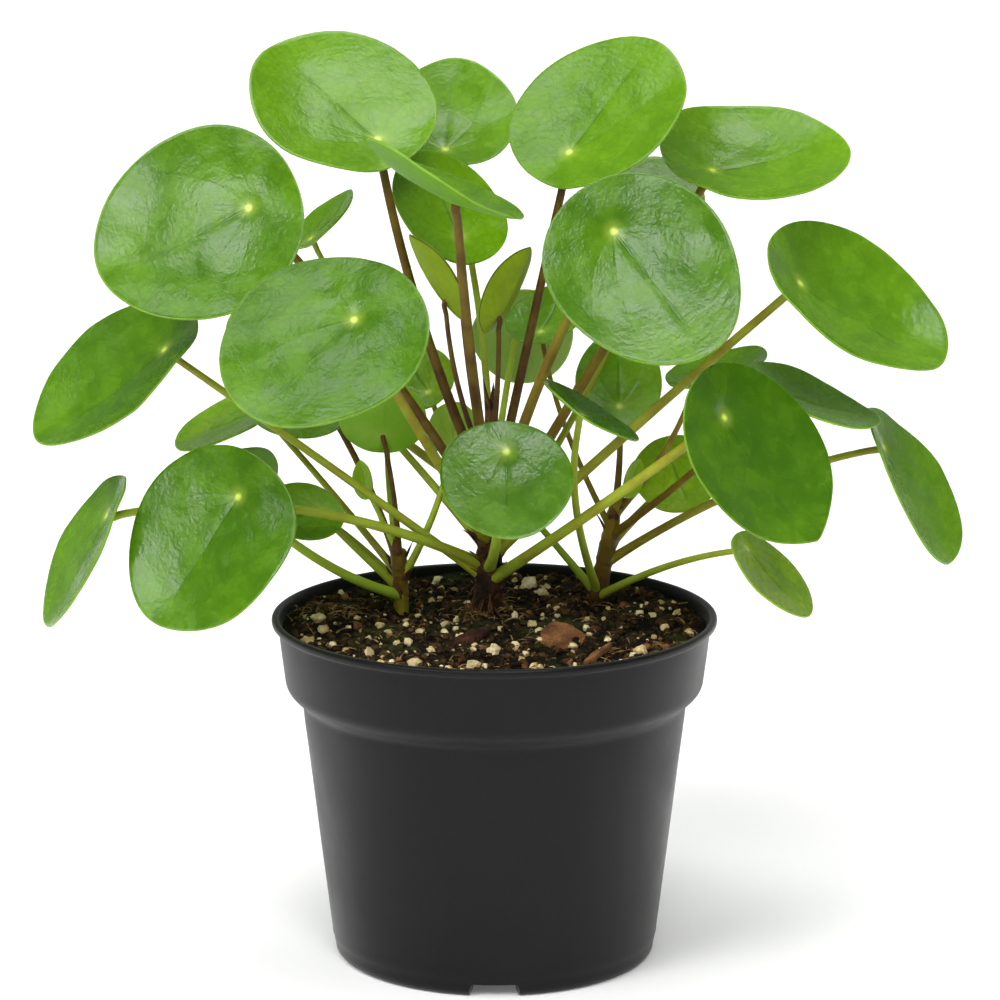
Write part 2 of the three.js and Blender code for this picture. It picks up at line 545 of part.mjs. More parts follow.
const plant = new THREE.Group();
const soil = soilBody();
plant.add(named("pot", potGeometry(), PLASTIC));
plant.add(named("soil", geometryOf(soil), SOIL_BROWN));
for (const chip of CHIPS) {
  plant.add(named(chip.id, chipGeometry(chip, soil), BARK));
}
for (const name of Object.keys(CROWNS)) {
  plant.add(named(`stems_${name}`, stemsGeometry(name), name === "main" ? STALK_BROWN : STALK_OLIVE));
  for (const leaf of leavesOf(name)) {
    const look = leaf.span[0] > 24 ? LEAF_GREEN : YOUNG_GREEN;
    plant.add(named(`leaf_${leaf.id}`, bladeGeometry(leaf), look));
  }
}

export default plant;
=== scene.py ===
"""A potted Chinese money plant in a black nursery pot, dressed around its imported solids.

Shapes are worked out in millimetres and meshes are in metres. +Z is up, +X is to the right and +Y
points away from a person who looks at the plant's front. Every shape is worked out as whole numpy
arrays from a formula that its docstring gives in words.
"""

import logging
import math
from dataclasses import dataclass, field
from enum import Enum

import bpy
import numpy as np
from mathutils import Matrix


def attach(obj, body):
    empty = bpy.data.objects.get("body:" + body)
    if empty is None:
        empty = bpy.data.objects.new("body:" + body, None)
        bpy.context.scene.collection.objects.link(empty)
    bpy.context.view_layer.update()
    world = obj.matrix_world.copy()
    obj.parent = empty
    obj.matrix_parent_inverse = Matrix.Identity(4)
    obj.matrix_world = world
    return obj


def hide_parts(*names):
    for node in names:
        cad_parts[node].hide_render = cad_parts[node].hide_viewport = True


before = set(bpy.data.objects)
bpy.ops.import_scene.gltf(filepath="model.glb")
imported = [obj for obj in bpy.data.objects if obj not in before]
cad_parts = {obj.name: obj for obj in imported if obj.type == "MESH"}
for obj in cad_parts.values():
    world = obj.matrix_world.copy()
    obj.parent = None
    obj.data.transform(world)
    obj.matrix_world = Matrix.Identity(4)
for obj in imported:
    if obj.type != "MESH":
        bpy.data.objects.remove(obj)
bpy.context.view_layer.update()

log = logging.getLogger("money_plant")

MM = 0.001
BODY = "root"
FULL_TURN = 2 * math.pi
UPWARD = np.array([0.0, 0.0, 1.0])
LEVEL = np.array([1.0, 1.0, 0.0])
VIEW_DOWN = math.radians(12.7)
VIEW_RIGHT = np.array([1.0, 0.0, 0.0])
VIEW_UP = np.array([0.0, math.sin(VIEW_DOWN), math.cos(VIEW_DOWN)])
TO_VIEWER = np.array([0.0, -math.cos(VIEW_DOWN), math.sin(VIEW_DOWN)])
LATTICE = 64
BLADE_UV = 4.0
UPPER_CENTRE = (0.25, 0.5)
UNDER_CENTRE = (0.75, 0.5)

Array = np.ndarray
Colour = tuple[float, float, float]
Vector = tuple[float, float, float]
Material = bpy.types.Material
Node = bpy.types.Node
Piece = bpy.types.Object

WHITE: Colour = (1.0, 1.0, 1.0)


class Finish(Enum):
    """The finishes of the plant, its pot and the floor."""

    POT = "Charcoal moulded plastic"
    SOIL = "Damp potting soil"
    CRUMB = "Soil crumbs"
    PERLITE = "White perlite"
    BARK = "Reddish bark"
    DARK_BARK = "Dark wet bark"
    STALK = "Living stalk"
    TRUNK = "Scarred trunk"
    SCALE = "Papery brown scale"
    FIBRE = "Dry root fibre"
    UPPER = "Glossy leaf, upper face"
    UNDER = "Leaf, underside"
    YOUNG_UPPER = "Young leaf, upper face"
    YOUNG_UNDER = "Young leaf, underside"
    FLOOR = "Pale floor"


# Shapes


def unit(vector: Array) -> Array:
    """Scale a vector, or each row of an array of vectors, to length one."""
    return vector / np.linalg.norm(vector, axis=-1, keepdims=True)


def heading(turn: float) -> Array:
    """Level direction at an angle from +X."""
    return np.array([math.cos(turn), math.sin(turn), 0.0])


def even_angles(count: int) -> Array:
    """Angles that share a full turn out evenly."""
    return np.linspace(0, FULL_TURN, count, endpoint=False)


def bell(distance: Array, width: float) -> Array:
    """Fall from 1 at distance 0: e to the power of less the square of distance over width."""
    return np.exp(-((distance / width) ** 2))


def smoothstep(low: float, high: float, value: Array) -> Array:
    """Rise smoothly from 0 at low to 1 at high: 3 t squared less 2 t cubed of the clipped share t."""
    t = np.clip((value - low) / (high - low), 0, 1)
    return t * t * (3 - 2 * t)


def bezier(start: Array, middle: Array, end: Array, share: Array) -> Array:
    """Curve from start to end, drawn to middle: (1-s)^2 starts, 2s(1-s) middles and s^2 ends."""
    return (1 - share) ** 2 * start + 2 * share * (1 - share) * middle + share**2 * end


def turned(radius: Array, height: Array, angle: Array) -> Array:
    """Points at a distance from the vertical axis, a height and an angle, which are broadcast together."""
    places = np.broadcast_arrays(radius * np.cos(angle), radius * np.sin(angle), height)
    return np.stack(places, axis=-1)


def layered_noise(x: Array, y: Array, seed: int, layers: int) -> Array:
    """Smooth random height over a plane, each layer with bumps half as wide and high as the one before.

    A layer blends the random heights of a lattice between its four nearest corners by smoothstep
    shares. The first layer has one bump per unit, about -1 to 1 high.

    Args:
        x: First coordinate of each point, in bumps of the first layer.
        y: Second coordinate of each point.
        seed: Seed of the first layer's heights.
        layers: Number of layers.

    Returns:
        The height at each point.
    """
    total = 0.0
    for k in range(layers):
        lattice = np.random.default_rng(seed + k).uniform(-1, 1, (LATTICE, LATTICE))
        across, up = x * 2**k + 7.3 * k, y * 2**k - 3.1 * k
        i, j = np.floor(across).astype(int), np.floor(up).astype(int)
        u, v = smoothstep(0, 1, across - i), smoothstep(0, 1, up - j)
        left, right, low, high = i % LATTICE, (i + 1) % LATTICE, j % LATTICE, (j + 1) % LATTICE
        near = lattice[left, low] * (1 - u) + lattice[right, low] * u
        far = lattice[left, high] * (1 - u) + lattice[right, high] * u
        total = total + (near * (1 - v) + far * v) / 2**k
    return total


@dataclass
class Shell:
    """A closed surface: rings of points, and one point that closes each end."""

    rings: Array
    start: Array
    end: Array

    def points(self) -> Array:
        """All points, ring by ring, then the start point and the end point."""
        return np.vstack([self.rings.reshape(-1, 3), self.start, self.end])

    def faces(self, offset: int = 0) -> list[list[int]]:
        """Join the rings by four-sided faces and close the ends by fans of triangles.

        Rings that run anticlockwise about the direction in which they follow each other face outwards.

        Args:
            offset: Number of the first point.

        Returns:
            The four-sided faces, ring by ring, and then the triangles.
        """
        count, sides = self.rings.shape[:2]
        side = np.arange(sides)
        following = (side + 1) % sides
        base = np.arange(count - 1)[:, None] * sides
        corners = [base + side, base + following, base + sides + following, base + sides + side]
        quads = np.stack(corners, axis=-1).reshape(-1, 4)
        last = (count - 1) * sides
        first_fan = np.stack([np.full(sides, count * sides), following, side], axis=-1)
        last_fan = np.stack([np.full(sides, count * sides + 1), last + side, last + following], axis=-1)
        return (quads + offset).tolist() + (np.vstack([first_fan, last_fan]) + offset).tolist()


def sweep(path: Array, radius: Array, sides: int, flat: float = 1.0, cap: float = 0.5) -> Shell:
    """Carry a round section along a path that lies in one plane.

    The section's first direction is the plane's normal and its second is that normal crossed with the
    path's tangent, so the section never twists. Each ring is the path's point plus the radius times
    the cosine of the first and the sine of the second.

    Args:
        path: Points along the middle line.
        radius: The section's radius at each point.
        sides: Number of points round the section.
        flat: The section's second radius as a share of the first.
        cap: Height of the cone that closes the far end, as a share of its radius.

    Returns:
        The closed surface.
    """
    tangent = unit(np.gradient(path, axis=0))
    normal = np.cross(tangent[0], tangent[len(path) // 2])
    # A straight path lies in many planes, so one is chosen by a direction that no straight path has
    if np.linalg.norm(normal) < 1e-4:
        normal = np.cross(tangent[0], np.array([0.31, 0.9, 0.12]))
    first = unit(normal - tangent * (tangent @ normal)[:, None])
    second = np.cross(tangent, first)
    angle = even_angles(sides)[None, :, None]
    section = first[:, None] * np.cos(angle) + flat * second[:, None] * np.sin(angle)
    rings = path[:, None] + radius[:, None, None] * section
    start = path[0] - tangent[0] * 0.5 * radius[0]
    return Shell(rings, start, path[-1] + tangent[-1] * cap * radius[-1])


def lumps(centres: Array, sizes: Array, seed: int, rings: int, sides: int, rough: float) -> list[Shell]:
    """Irregular grains: balls whose radius is uneven, each turned and stretched by a seeded draw.

    A ball's point is its centre plus its size times a direction on the unit ball, the direction being
    scaled by one plus an uneven share, stretched along three axes, and turned about the vertical.

    Args:
        centres: Middle of each grain.
        sizes: Mean radius of each grain.
        seed: Seed of the draw.
        rings: Rings of points from pole to pole.
        sides: Points round each ring.
        rough: Unevenness of the radius as a share of it.

    Returns:
        One closed surface per grain.
    """
    rng = np.random.default_rng(seed)
    polar = np.linspace(0, math.pi, rings + 2)[1:-1, None]
    ball = turned(np.sin(polar), -np.cos(polar), even_angles(sides))
    shells = []
    for centre, size in zip(centres, sizes):
        stretch = rng.uniform(0.7, 1.25, 3) * np.array([1.0, 1.0, 0.8])
        uneven = 1 + rough * rng.uniform(-1, 1, (rings, sides, 1))
        ahead = heading(rng.uniform(0, FULL_TURN))
        spin = np.array([ahead, np.cross(UPWARD, ahead), UPWARD])
        body = (ball * uneven * stretch) @ spin * size
        pole = UPWARD * stretch[2] * size
        shells.append(Shell(centre + body, centre - pole, centre + pole))
    return shells


# Pieces


def mesh_of(name: str, shells: list[Shell]) -> bpy.types.Mesh:
    """Put closed surfaces in millimetres into one mesh in metres.

    Args:
        name: Name of the mesh.
        shells: The surfaces.

    Returns:
        The mesh.
    """
    points = [shell.points() for shell in shells]
    offsets = np.cumsum([0] + [len(part) for part in points])
    faces = [face for shell, offset in zip(shells, offsets) for face in shell.faces(offset)]
    mesh = bpy.data.meshes.new(name)
    mesh.from_pydata((np.vstack(points) * MM).tolist(), [], faces)
    return mesh


def add_object(name: str, data: bpy.types.ID) -> bpy.types.Object:
    """Put data into the scene as an object at the origin.

    Args:
        name: Name of the object.
        data: Its mesh, light or camera.

    Returns:
        The object.
    """
    thing = bpy.data.objects.new(name, data)
    bpy.context.scene.collection.objects.link(thing)
    return thing


def make_piece(
    name: str,
    shells: list[Shell],
    finishes: list[Finish],
    nodes: list[str],
    sharp_deg: float = 40.0,
    kinds: Array | None = None,
) -> Piece:
    """Make one smooth-shaded piece that rides on the plant's body.

    Args:
        name: Name of the piece.
        shells: Its closed surfaces.
        finishes: Its finishes.
        nodes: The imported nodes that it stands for, none for a piece that is only in this scene.
        sharp_deg: Edges that turn by more than this stay sharp.
        kinds: Which finish each face has, where there are several.

    Returns:
        The new object, at the origin.
    """
    mesh = mesh_of(name, shells)
    for finish in finishes:
        mesh.materials.append(material_of(finish))
    mesh.polygons.foreach_set("use_smooth", np.ones(len(mesh.polygons), dtype=bool))
    mesh.set_sharp_from_angle(angle=math.radians(sharp_deg))
    mesh.update()
    if kinds is not None:
        mesh.polygons.foreach_set("material_index", kinds.astype(np.int32))
    piece = add_object(name, mesh)
    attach(piece, BODY)
    if nodes:
        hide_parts(*nodes)
    log.info("%s: %d points, %d faces", name, len(mesh.vertices), len(mesh.polygons))
    return piece


def give_attribute(piece: Piece, name: str, values: Array) -> None:
    """Store one number for each point of a piece, which the finishes read by this name."""
    layer = piece.data.attributes.new(name, "FLOAT", "POINT")
    layer.data.foreach_set("value", values.astype(np.float32))


# Node tools


class Value:
    """A number, colour or place in a node tree. Arithmetic with it adds Math nodes."""

    def __init__(self, wires: "Wires", socket: bpy.types.NodeSocket) -> None:
        """Keep the tree's wires and the socket that gives the value."""
        self.wires = wires
        self.socket = socket

    def __add__(self, other: "Value | float") -> "Value":
        """This value plus another."""
        return self.wires.math("ADD", self, other)

    def __sub__(self, other: "Value | float") -> "Value":
        """This value less another."""
        return self.wires.math("SUBTRACT", self, other)

    def __rsub__(self, other: float) -> "Value":
        """A number less this value."""
        return self.wires.math("SUBTRACT", other, self)

    def __mul__(self, other: "Value | float") -> "Value":
        """This value times another."""
        return self.wires.math("MULTIPLY", self, other)


Input = Value | float | tuple[float, ...]


class Wires:
    """Adds nodes to a tree and joins them."""

    def __init__(self, tree: bpy.types.NodeTree) -> None:
        """Keep the tree."""
        self.tree = tree

    def put(self, socket: bpy.types.NodeSocket, value: Input) -> None:
        """Join a value to a socket, or set the socket to a plain one.

        Args:
            socket: The input.
            value: What it gets. A plain colour is opaque.
        """
        if isinstance(value, Value):
            self.tree.links.new(value.socket, socket)
        else:
            socket.default_value = (*value, 1.0) if socket.type == "RGBA" else value

    def fill(self, node: Node, **inputs: Input) -> None:
        """Put values into a node's inputs, by their names with underscores for spaces."""
        for key, value in inputs.items():
            self.put(node.inputs[key.replace("_", " ")], value)

    def add(self, kind: str, settings: dict[str, object] | None = None, **inputs: Input) -> Node:
        """Add a node, set its options, and fill its inputs.

        Args:
            kind: Type name of the node.
            settings: Options of the node by attribute name.
            inputs: Its inputs, as in fill.

        Returns:
            The node.
        """
        node = self.tree.nodes.new(kind)
        for key, value in (settings or {}).items():
            setattr(node, key, value)
        self.fill(node, **inputs)
        return node

    def read(self, node: Node, output: str | int = 0) -> Value:
        """An output of a node as a value."""
        return Value(self, node.outputs[output])

    def math(self, operation: str, *inputs: Input, kind: str = "ShaderNodeMath", output: int = 0) -> Value:
        """A Math node's result, or another kind's that has an operation.

        Args:
            operation: The operation.
            inputs: Its inputs in order.
            kind: Type name of the node.
            output: Which output is the result.

        Returns:
            The result.
        """
        node = self.add(kind, {"operation": operation})
        for socket, value in zip(node.inputs, inputs):
            self.put(socket, value)
        return self.read(node, output)

    def vector(self, operation: str, first: Input, second: Input, output: int = 0) -> Value:
        """A Vector Math node's result for two vectors."""
        return self.math(operation, first, second, kind="ShaderNodeVectorMath", output=output)

    def band(self, value: Input, low: float, high: float, start: float = 0.0, end: float = 1.0) -> Value:
        """A smooth, clipped run from start where the value is low to end where it is high.

        Args:
            value: The value that is mapped.
            low: Value that gives start.
            high: Value that gives end.
            start: Result at low.
            end: Result at high.

        Returns:
            The result.
        """
        ends = {"From_Min": low, "From_Max": high, "To_Min": start, "To_Max": end}
        node = self.add("ShaderNodeMapRange", {"interpolation_type": "SMOOTHSTEP"}, Value=value, **ends)
        return self.read(node)

    def fade(self, value: Input, low: float, high: float) -> Value:
        """A smooth fall from 1 where the value is low to 0 where it is high."""
        return self.band(value, low, high, 1.0, 0.0)

    def blend(self, share: Input, first: Input, second: Input) -> Value:
        """A colour between two.

        Args:
            share: How much of the second colour there is.
            first: Colour at share 0.
            second: Colour at share 1.

        Returns:
            The mixed colour.
        """
        node = self.add("ShaderNodeMix", {"data_type": "RGBA"})
        for index, value in ((0, share), (6, first), (7, second)):
            self.put(node.inputs[index], value)
        return self.read(node, 2)

    def noise(self, place: Value, scale: Input, detail: float, bent: float = 0.0) -> Value:
        """A Noise Texture's value, about 0 to 1, with scale bumps per unit and detail finer layers."""
        node = self.add("ShaderNodeTexNoise", Vector=place, Scale=scale, Detail=detail, Distortion=bent)
        return self.read(node)

    def object_place(self) -> Value:
        """Coordinates on the piece, in metres."""
        return self.read(self.add("ShaderNodeTexCoord"), "Object")

    def attribute(self, name: str) -> Value:
        """A number that the piece holds for each of its points."""
        return self.read(self.add("ShaderNodeAttribute", {"attribute_name": name}), "Fac")


def new_material(finish: Finish) -> tuple[Material, Wires, Node]:
    """Start a finish's material, and give it with its wires and its Principled shader.

    Args:
        finish: The finish.

    Returns:
        The material, its wires and its shader node.
    """
    material = bpy.data.materials.new(finish.value)
    material.use_nodes = True
    return material, Wires(material.node_tree), material.node_tree.nodes["Principled BSDF"]


def add_bump(wires: Wires, shader: Node, height: Value, strength: float, high_mm: float) -> None:
    """Let a height, which is high_mm tall at 1, move the shader's normal."""
    bump = wires.add("ShaderNodeBump", Strength=strength, Distance=high_mm * MM, Height=height)
    wires.fill(shader, Normal=wires.read(bump))


# Effects that several materials share


class Effect:
    """A node group that gives numbers, worked out from a place and from other numbers."""

    name: str
    numbers: tuple[str, ...]

    def results(self, wires: Wires, *inputs: Value) -> dict[str, Value]:
        """Work out what the group gives, by name, from its inputs. Each effect has its own way."""
        raise NotImplementedError

    def group(self) -> bpy.types.NodeTree:
        """Make the group, unless it is there.

        Returns:
            The group.
        """
        if self.name in bpy.data.node_groups:
            return bpy.data.node_groups[self.name]
        group = bpy.data.node_groups.new(self.name, "ShaderNodeTree")
        group.interface.new_socket("Place", in_out="INPUT", socket_type="NodeSocketVector")
        for key in self.numbers:
            group.interface.new_socket(key, in_out="INPUT", socket_type="NodeSocketFloat")
        wires = Wires(group)
        enter = group.nodes.new("NodeGroupInput")
        results = self.results(wires, *(wires.read(enter, key) for key in ("Place", *self.numbers)))
        for key in results:
            group.interface.new_socket(key, in_out="OUTPUT", socket_type="NodeSocketFloat")
        wires.add("NodeGroupOutput", **results)
        return group

    def place(self, wires: Wires, **inputs: Input) -> dict[str, Value]:
        """Put the group into a material, and give its results by name."""
        node = wires.add("ShaderNodeGroup", {"node_tree": self.group()}, **inputs)
        return {output.name: Value(wires, output) for output in node.outputs}


class SpeckleEffect(Effect):
    """Uneven tone and fine grain, shared by plastic, soil, bark and stalks."""

    name = "Speckle"
    numbers = ("Patch Scale", "Grain Scale")

    def results(self, wires: Wires, place: Value, patch: Value, grain: Value) -> dict[str, Value]:
        """Broad patches from a low noise and fine grain from a high one, each between 0 and 1."""
        broad, fine = wires.noise(place, patch, 3.0), wires.noise(place, grain, 4.0)
        return {"Patch": wires.band(broad, 0.32, 0.68), "Grain": wires.band(fine, 0.3, 0.7)}


class VeinEffect(Effect):
    """The pattern of a round blade: veins that fan out of its hub, a net, a pale hub and a pale margin."""

    name = "Blade veins"
    numbers = ("Reach",)
    angles = (0.0, 0.68, 1.35, 2.3)
    bend = 0.45
    wobble = 0.12
    wobble_scale = 70.0
    net_scale = 300.0
    net_bend = 0.003
    streaks_round = 6.0
    streaks_out = 430.0

    def results(self, wires: Wires, place: Value, reach: Value) -> dict[str, Value]:
        """Masks of a blade from its place, in metres from the hub, and its reach from hub to margin.

        A vein leaves the hub at its angle from the tip's direction and bends towards the tip as it goes
        out, so its angle is the first one times one less the bend times the reach. A point's distance
        to it is the difference of angles times the point's distance from the hub. The crinkle is a
        noise drawn out along circles about the hub, and a fine one.

        Args:
            wires: Wires of the group.
            place: Place on the blade.
            reach: 0 at the hub to 1 at the margin.

        Returns:
            The masks, each between 0 and 1.
        """
        split = wires.add("ShaderNodeSeparateXYZ", Vector=place)
        x, y = wires.read(split, 0), wires.read(split, 1)
        radius = wires.math("SQRT", wires.math("POWER", x, 2.0) + wires.math("POWER", y, 2.0))
        wobble = (wires.noise(place, self.wobble_scale, 2.0) - 0.5) * self.wobble
        angle = wires.math("ARCTAN2", wires.math("ABSOLUTE", y), x) + wobble
        closing = 1.0 - reach * self.bend
        main, second, third, last = (
            wires.math("ABSOLUTE", angle - closing * start) * radius for start in self.angles
        )
        side = wires.math("MINIMUM", second, wires.math("MINIMUM", third, last + 0.0003))
        shift = wires.read(wires.add("ShaderNodeTexNoise", Vector=place, Scale=260.0, Detail=2.0), 1)
        bent = wires.vector("ADD", place, wires.vector("MULTIPLY", shift, (self.net_bend,) * 3))
        flat = {"feature": "DISTANCE_TO_EDGE", "voronoi_dimensions": "2D"}
        cells = wires.read(wires.add("ShaderNodeTexVoronoi", flat, Vector=bent, Scale=self.net_scale))
        polar = wires.add(
            "ShaderNodeCombineXYZ",
            X=angle * self.streaks_round,
            Y=radius * self.streaks_out,
            Z=wires.math("SIGN", y) * 3.0,
        )
        streak = wires.noise(wires.read(polar), 0.9, 2.0, 0.6)
        crinkle = streak * 0.55 + wires.noise(place, 480.0, 1.5, 0.6) * 0.45
        fading = wires.fade(reach, 0.55, 0.97)
        return {
            "Main": wires.fade(main, 0.0001, 0.0006) * fading,
            "Side": wires.fade(side, 0.0001, 0.0008) * fading,
            "Net": wires.fade(cells, 0.0, 0.28) * wires.band(reach, 0.1, 0.5, 0.25, 1.0),
            "Hub": wires.fade(radius, 0.0002, 0.0019) * 0.75 + wires.fade(radius, 0.0004, 0.0052) * 0.25,
            "Margin": wires.band(reach, 0.982, 0.994),
            "Crinkle": crinkle * wires.band(radius, 0.001, 0.006),
        }


def speckle(wires: Wires, patches: float, grains: float) -> tuple[Value, Value]:
    """Patches and grain on the piece's own coordinates, with so many of each per metre."""
    scales = {"Patch_Scale": patches, "Grain_Scale": grains}
    return tuple(SpeckleEffect().place(wires, Place=wires.object_place(), **scales).values())


# Finishes


@dataclass(frozen=True)
class PlasticFinish:
    """Charcoal plastic with a faint moulded grain and a little dust."""

    finish: Finish = Finish.POT
    colour: Colour = (0.0012, 0.0012, 0.0013)
    dusty: Colour = (0.0035, 0.0035, 0.0035)
    roughness: float = 0.36
    sheen: float = 0.2
    dust: float = 0.12
    dust_roughness: float = 0.4

    def build(self) -> Material:
        """Make the material: two greys and two roughnesses by patches, with fine grain in its bump.

        Returns:
            The material.
        """
        material, wires, shader = new_material(self.finish)
        patch, grain = speckle(wires, 26.0, 2600.0)
        wires.fill(
            shader,
            Base_Color=wires.blend(patch, self.colour, self.dusty),
            Roughness=wires.band(patch, 0.0, 1.0, self.roughness, self.roughness + 0.12),
            Specular_IOR_Level=self.sheen,
            Sheen_Weight=self.dust,
            Sheen_Roughness=self.dust_roughness,
        )
        add_bump(wires, shader, grain, 0.25, 0.06)
        return material


@dataclass(frozen=True)
class GrainyFinish:
    """A rough two-tone finish with a bump: peat, perlite, bark, papery scales and fibres.

    pitted is how far the grain darkens it, bump the bump's strength and height, and mossy how far the
    moss covers its patches.
    """

    finish: Finish
    dark: Colour
    light: Colour
    patches: float
    grains: float
    bump: tuple[float, float]
    roughness: float = 0.85
    sheen: float = 0.25
    pitted: float = 0.35
    mossy: float = 0.0
    moss: Colour = (0.03, 0.045, 0.01)

    def build(self) -> Material:
        """Make the material: two tones by patches, darkened in the grain, with that grain as bump.

        Moss lies where a broad noise is high.

        Returns:
            The material.
        """
        material, wires, shader = new_material(self.finish)
        patch, grain = speckle(wires, self.patches, self.grains)
        colour = wires.blend(grain * self.pitted, wires.blend(patch, self.dark, self.light), self.dark)
        if self.mossy:
            damp = wires.noise(wires.object_place(), 48.0, 2.0)
            colour = wires.blend(wires.band(damp, 0.53, 0.62, 0.0, self.mossy), colour, self.moss)
        wires.fill(shader, Base_Color=colour, Roughness=self.roughness, Specular_IOR_Level=self.sheen)
        add_bump(wires, shader, grain, *self.bump)
        return material


@dataclass(frozen=True)
class StalkFinish:
    """A stalk's skin, from dark brown over olive to light green by the piece's own green attribute."""

    finish: Finish = Finish.STALK
    stops: tuple[tuple[float, Colour], ...] = (
        (0.0, (0.06, 0.025, 0.0035)),
        (0.36, (0.19, 0.13, 0.009)),
        (0.66, (0.28, 0.3, 0.021)),
        (1.0, (0.32, 0.48, 0.035)),
    )
    uneven: float = 0.16
    roughness: float = 0.42
    sheen: float = 0.22

    def build(self) -> Material:
        """Make the material: a ramp over the attribute, made uneven by patches, with a grained bump.

        Returns:
            The material.
        """
        material, wires, shader = new_material(self.finish)
        patch, grain = speckle(wires, 120.0, 1400.0)
        tone = wires.attribute("green") + (patch - 0.5) * self.uneven
        ramp = wires.add("ShaderNodeValToRGB", Fac=tone)
        elements = ramp.color_ramp.elements
        for index, (position, colour) in enumerate(self.stops):
            stop = elements[index] if index < 2 else elements.new(position)
            stop.position = position
            stop.color = (*colour, 1.0)
        wires.fill(
            shader,
            Base_Color=wires.read(ramp),
            Roughness=wires.band(grain, 0.0, 1.0, self.roughness, self.roughness + 0.15),
            Specular_IOR_Level=self.sheen,
        )
        add_bump(wires, shader, grain, 0.35, 0.1)
        return material


@dataclass(frozen=True)
class BladeFinish:
    """One face of a blade: green by tone, with veins, a net, a pale hub and a pale margin.

    The tone runs from deep at 0 to bright at 1, and on to a painted backlit green at 1.6, which
    paints in light that comes through the blade.
    """

    finish: Finish
    centre: tuple[float, float]
    deep: Colour
    bright: Colour
    painted_backlight: Colour
    vein: Colour
    hub: Colour
    margin: Colour
    vein_share: float
    relief: float
    roughness: float
    glow: float = 0.2
    sheen: float = 0.34
    margin_share: float = 0.3
    mottle: float = 0.5
    clouds: float = 0.8

    def build(self) -> Material:
        """Make the material on the blade's own map, its reach and its tone.

        The green runs from deep over bright to the painted backlit green, which paints in light that comes
        through the blade, with the tone, a mottle and clouds. Net, veins, hub and margin are painted over it
        in this order, and crinkle, veins and net form the bump.

        Returns:
            The material.
        """
        material, wires, shader = new_material(self.finish)
        chart = wires.read(wires.add("ShaderNodeUVMap", {"uv_map": "Blade"}))
        centred = wires.vector("SUBTRACT", chart, (*self.centre, 0.0))
        place = wires.vector("MULTIPLY", centred, (1 / BLADE_UV,) * 3)
        masks = VeinEffect().place(wires, Place=place, Reach=wires.attribute("reach"))
        mottle, clouds = wires.noise(place, 130.0, 3.0, 0.6), wires.noise(place, 34.0, 2.0)
        tone = wires.attribute("tone") + (mottle - 0.5) * self.mottle + (clouds - 0.5) * self.clouds
        colour = wires.blend(wires.band(tone, 0.0, 1.0), self.deep, self.bright)
        # Painted backlight: tones above 0.9 blend towards a pale green that stands in for light coming
        # through the blade
        colour = wires.blend(wires.band(tone, 0.9, 1.6), colour, self.painted_backlight)
        layers = (
            ("Net", self.vein_share * 0.36, self.vein),
            ("Side", self.vein_share * 0.35, self.vein),
            ("Main", self.vein_share, self.vein),
            ("Hub", 0.95, self.hub),
            ("Margin", self.margin_share, self.margin),
        )
        for name, share, paint in layers:
            colour = wires.blend(masks[name] * share, colour, paint)
        wires.fill(
            shader,
            Base_Color=colour,
            Roughness=wires.band(mottle, 0.3, 0.7, self.roughness - 0.04, self.roughness + 0.08),
            Specular_IOR_Level=self.sheen,
            Subsurface_Weight=self.glow,
            Subsurface_Radius=(0.6, 1.0, 0.2),
            Subsurface_Scale=1.2 * MM,
        )
        height = masks["Crinkle"] * 1.2 - masks["Main"] * 0.35 - masks["Side"] * 0.1 - masks["Net"] * 0.07
        add_bump(wires, shader, height, 0.75, self.relief)
        return material


@dataclass(frozen=True)
class FloorFinish:
    """A plain pale studio floor, which glows faintly so that its shadows stay pale."""

    finish: Finish = Finish.FLOOR
    colour: Colour = (0.9, 0.9, 0.9)
    glow: float = 0.1

    def build(self) -> Material:
        """Make the matte material.

        Returns:
            The material.
        """
        material, wires, shader = new_material(self.finish)
        wires.fill(shader, Base_Color=self.colour, Roughness=1.0, Specular_IOR_Level=0.0)
        wires.fill(shader, Emission_Color=WHITE, Emission_Strength=self.glow)
        return material


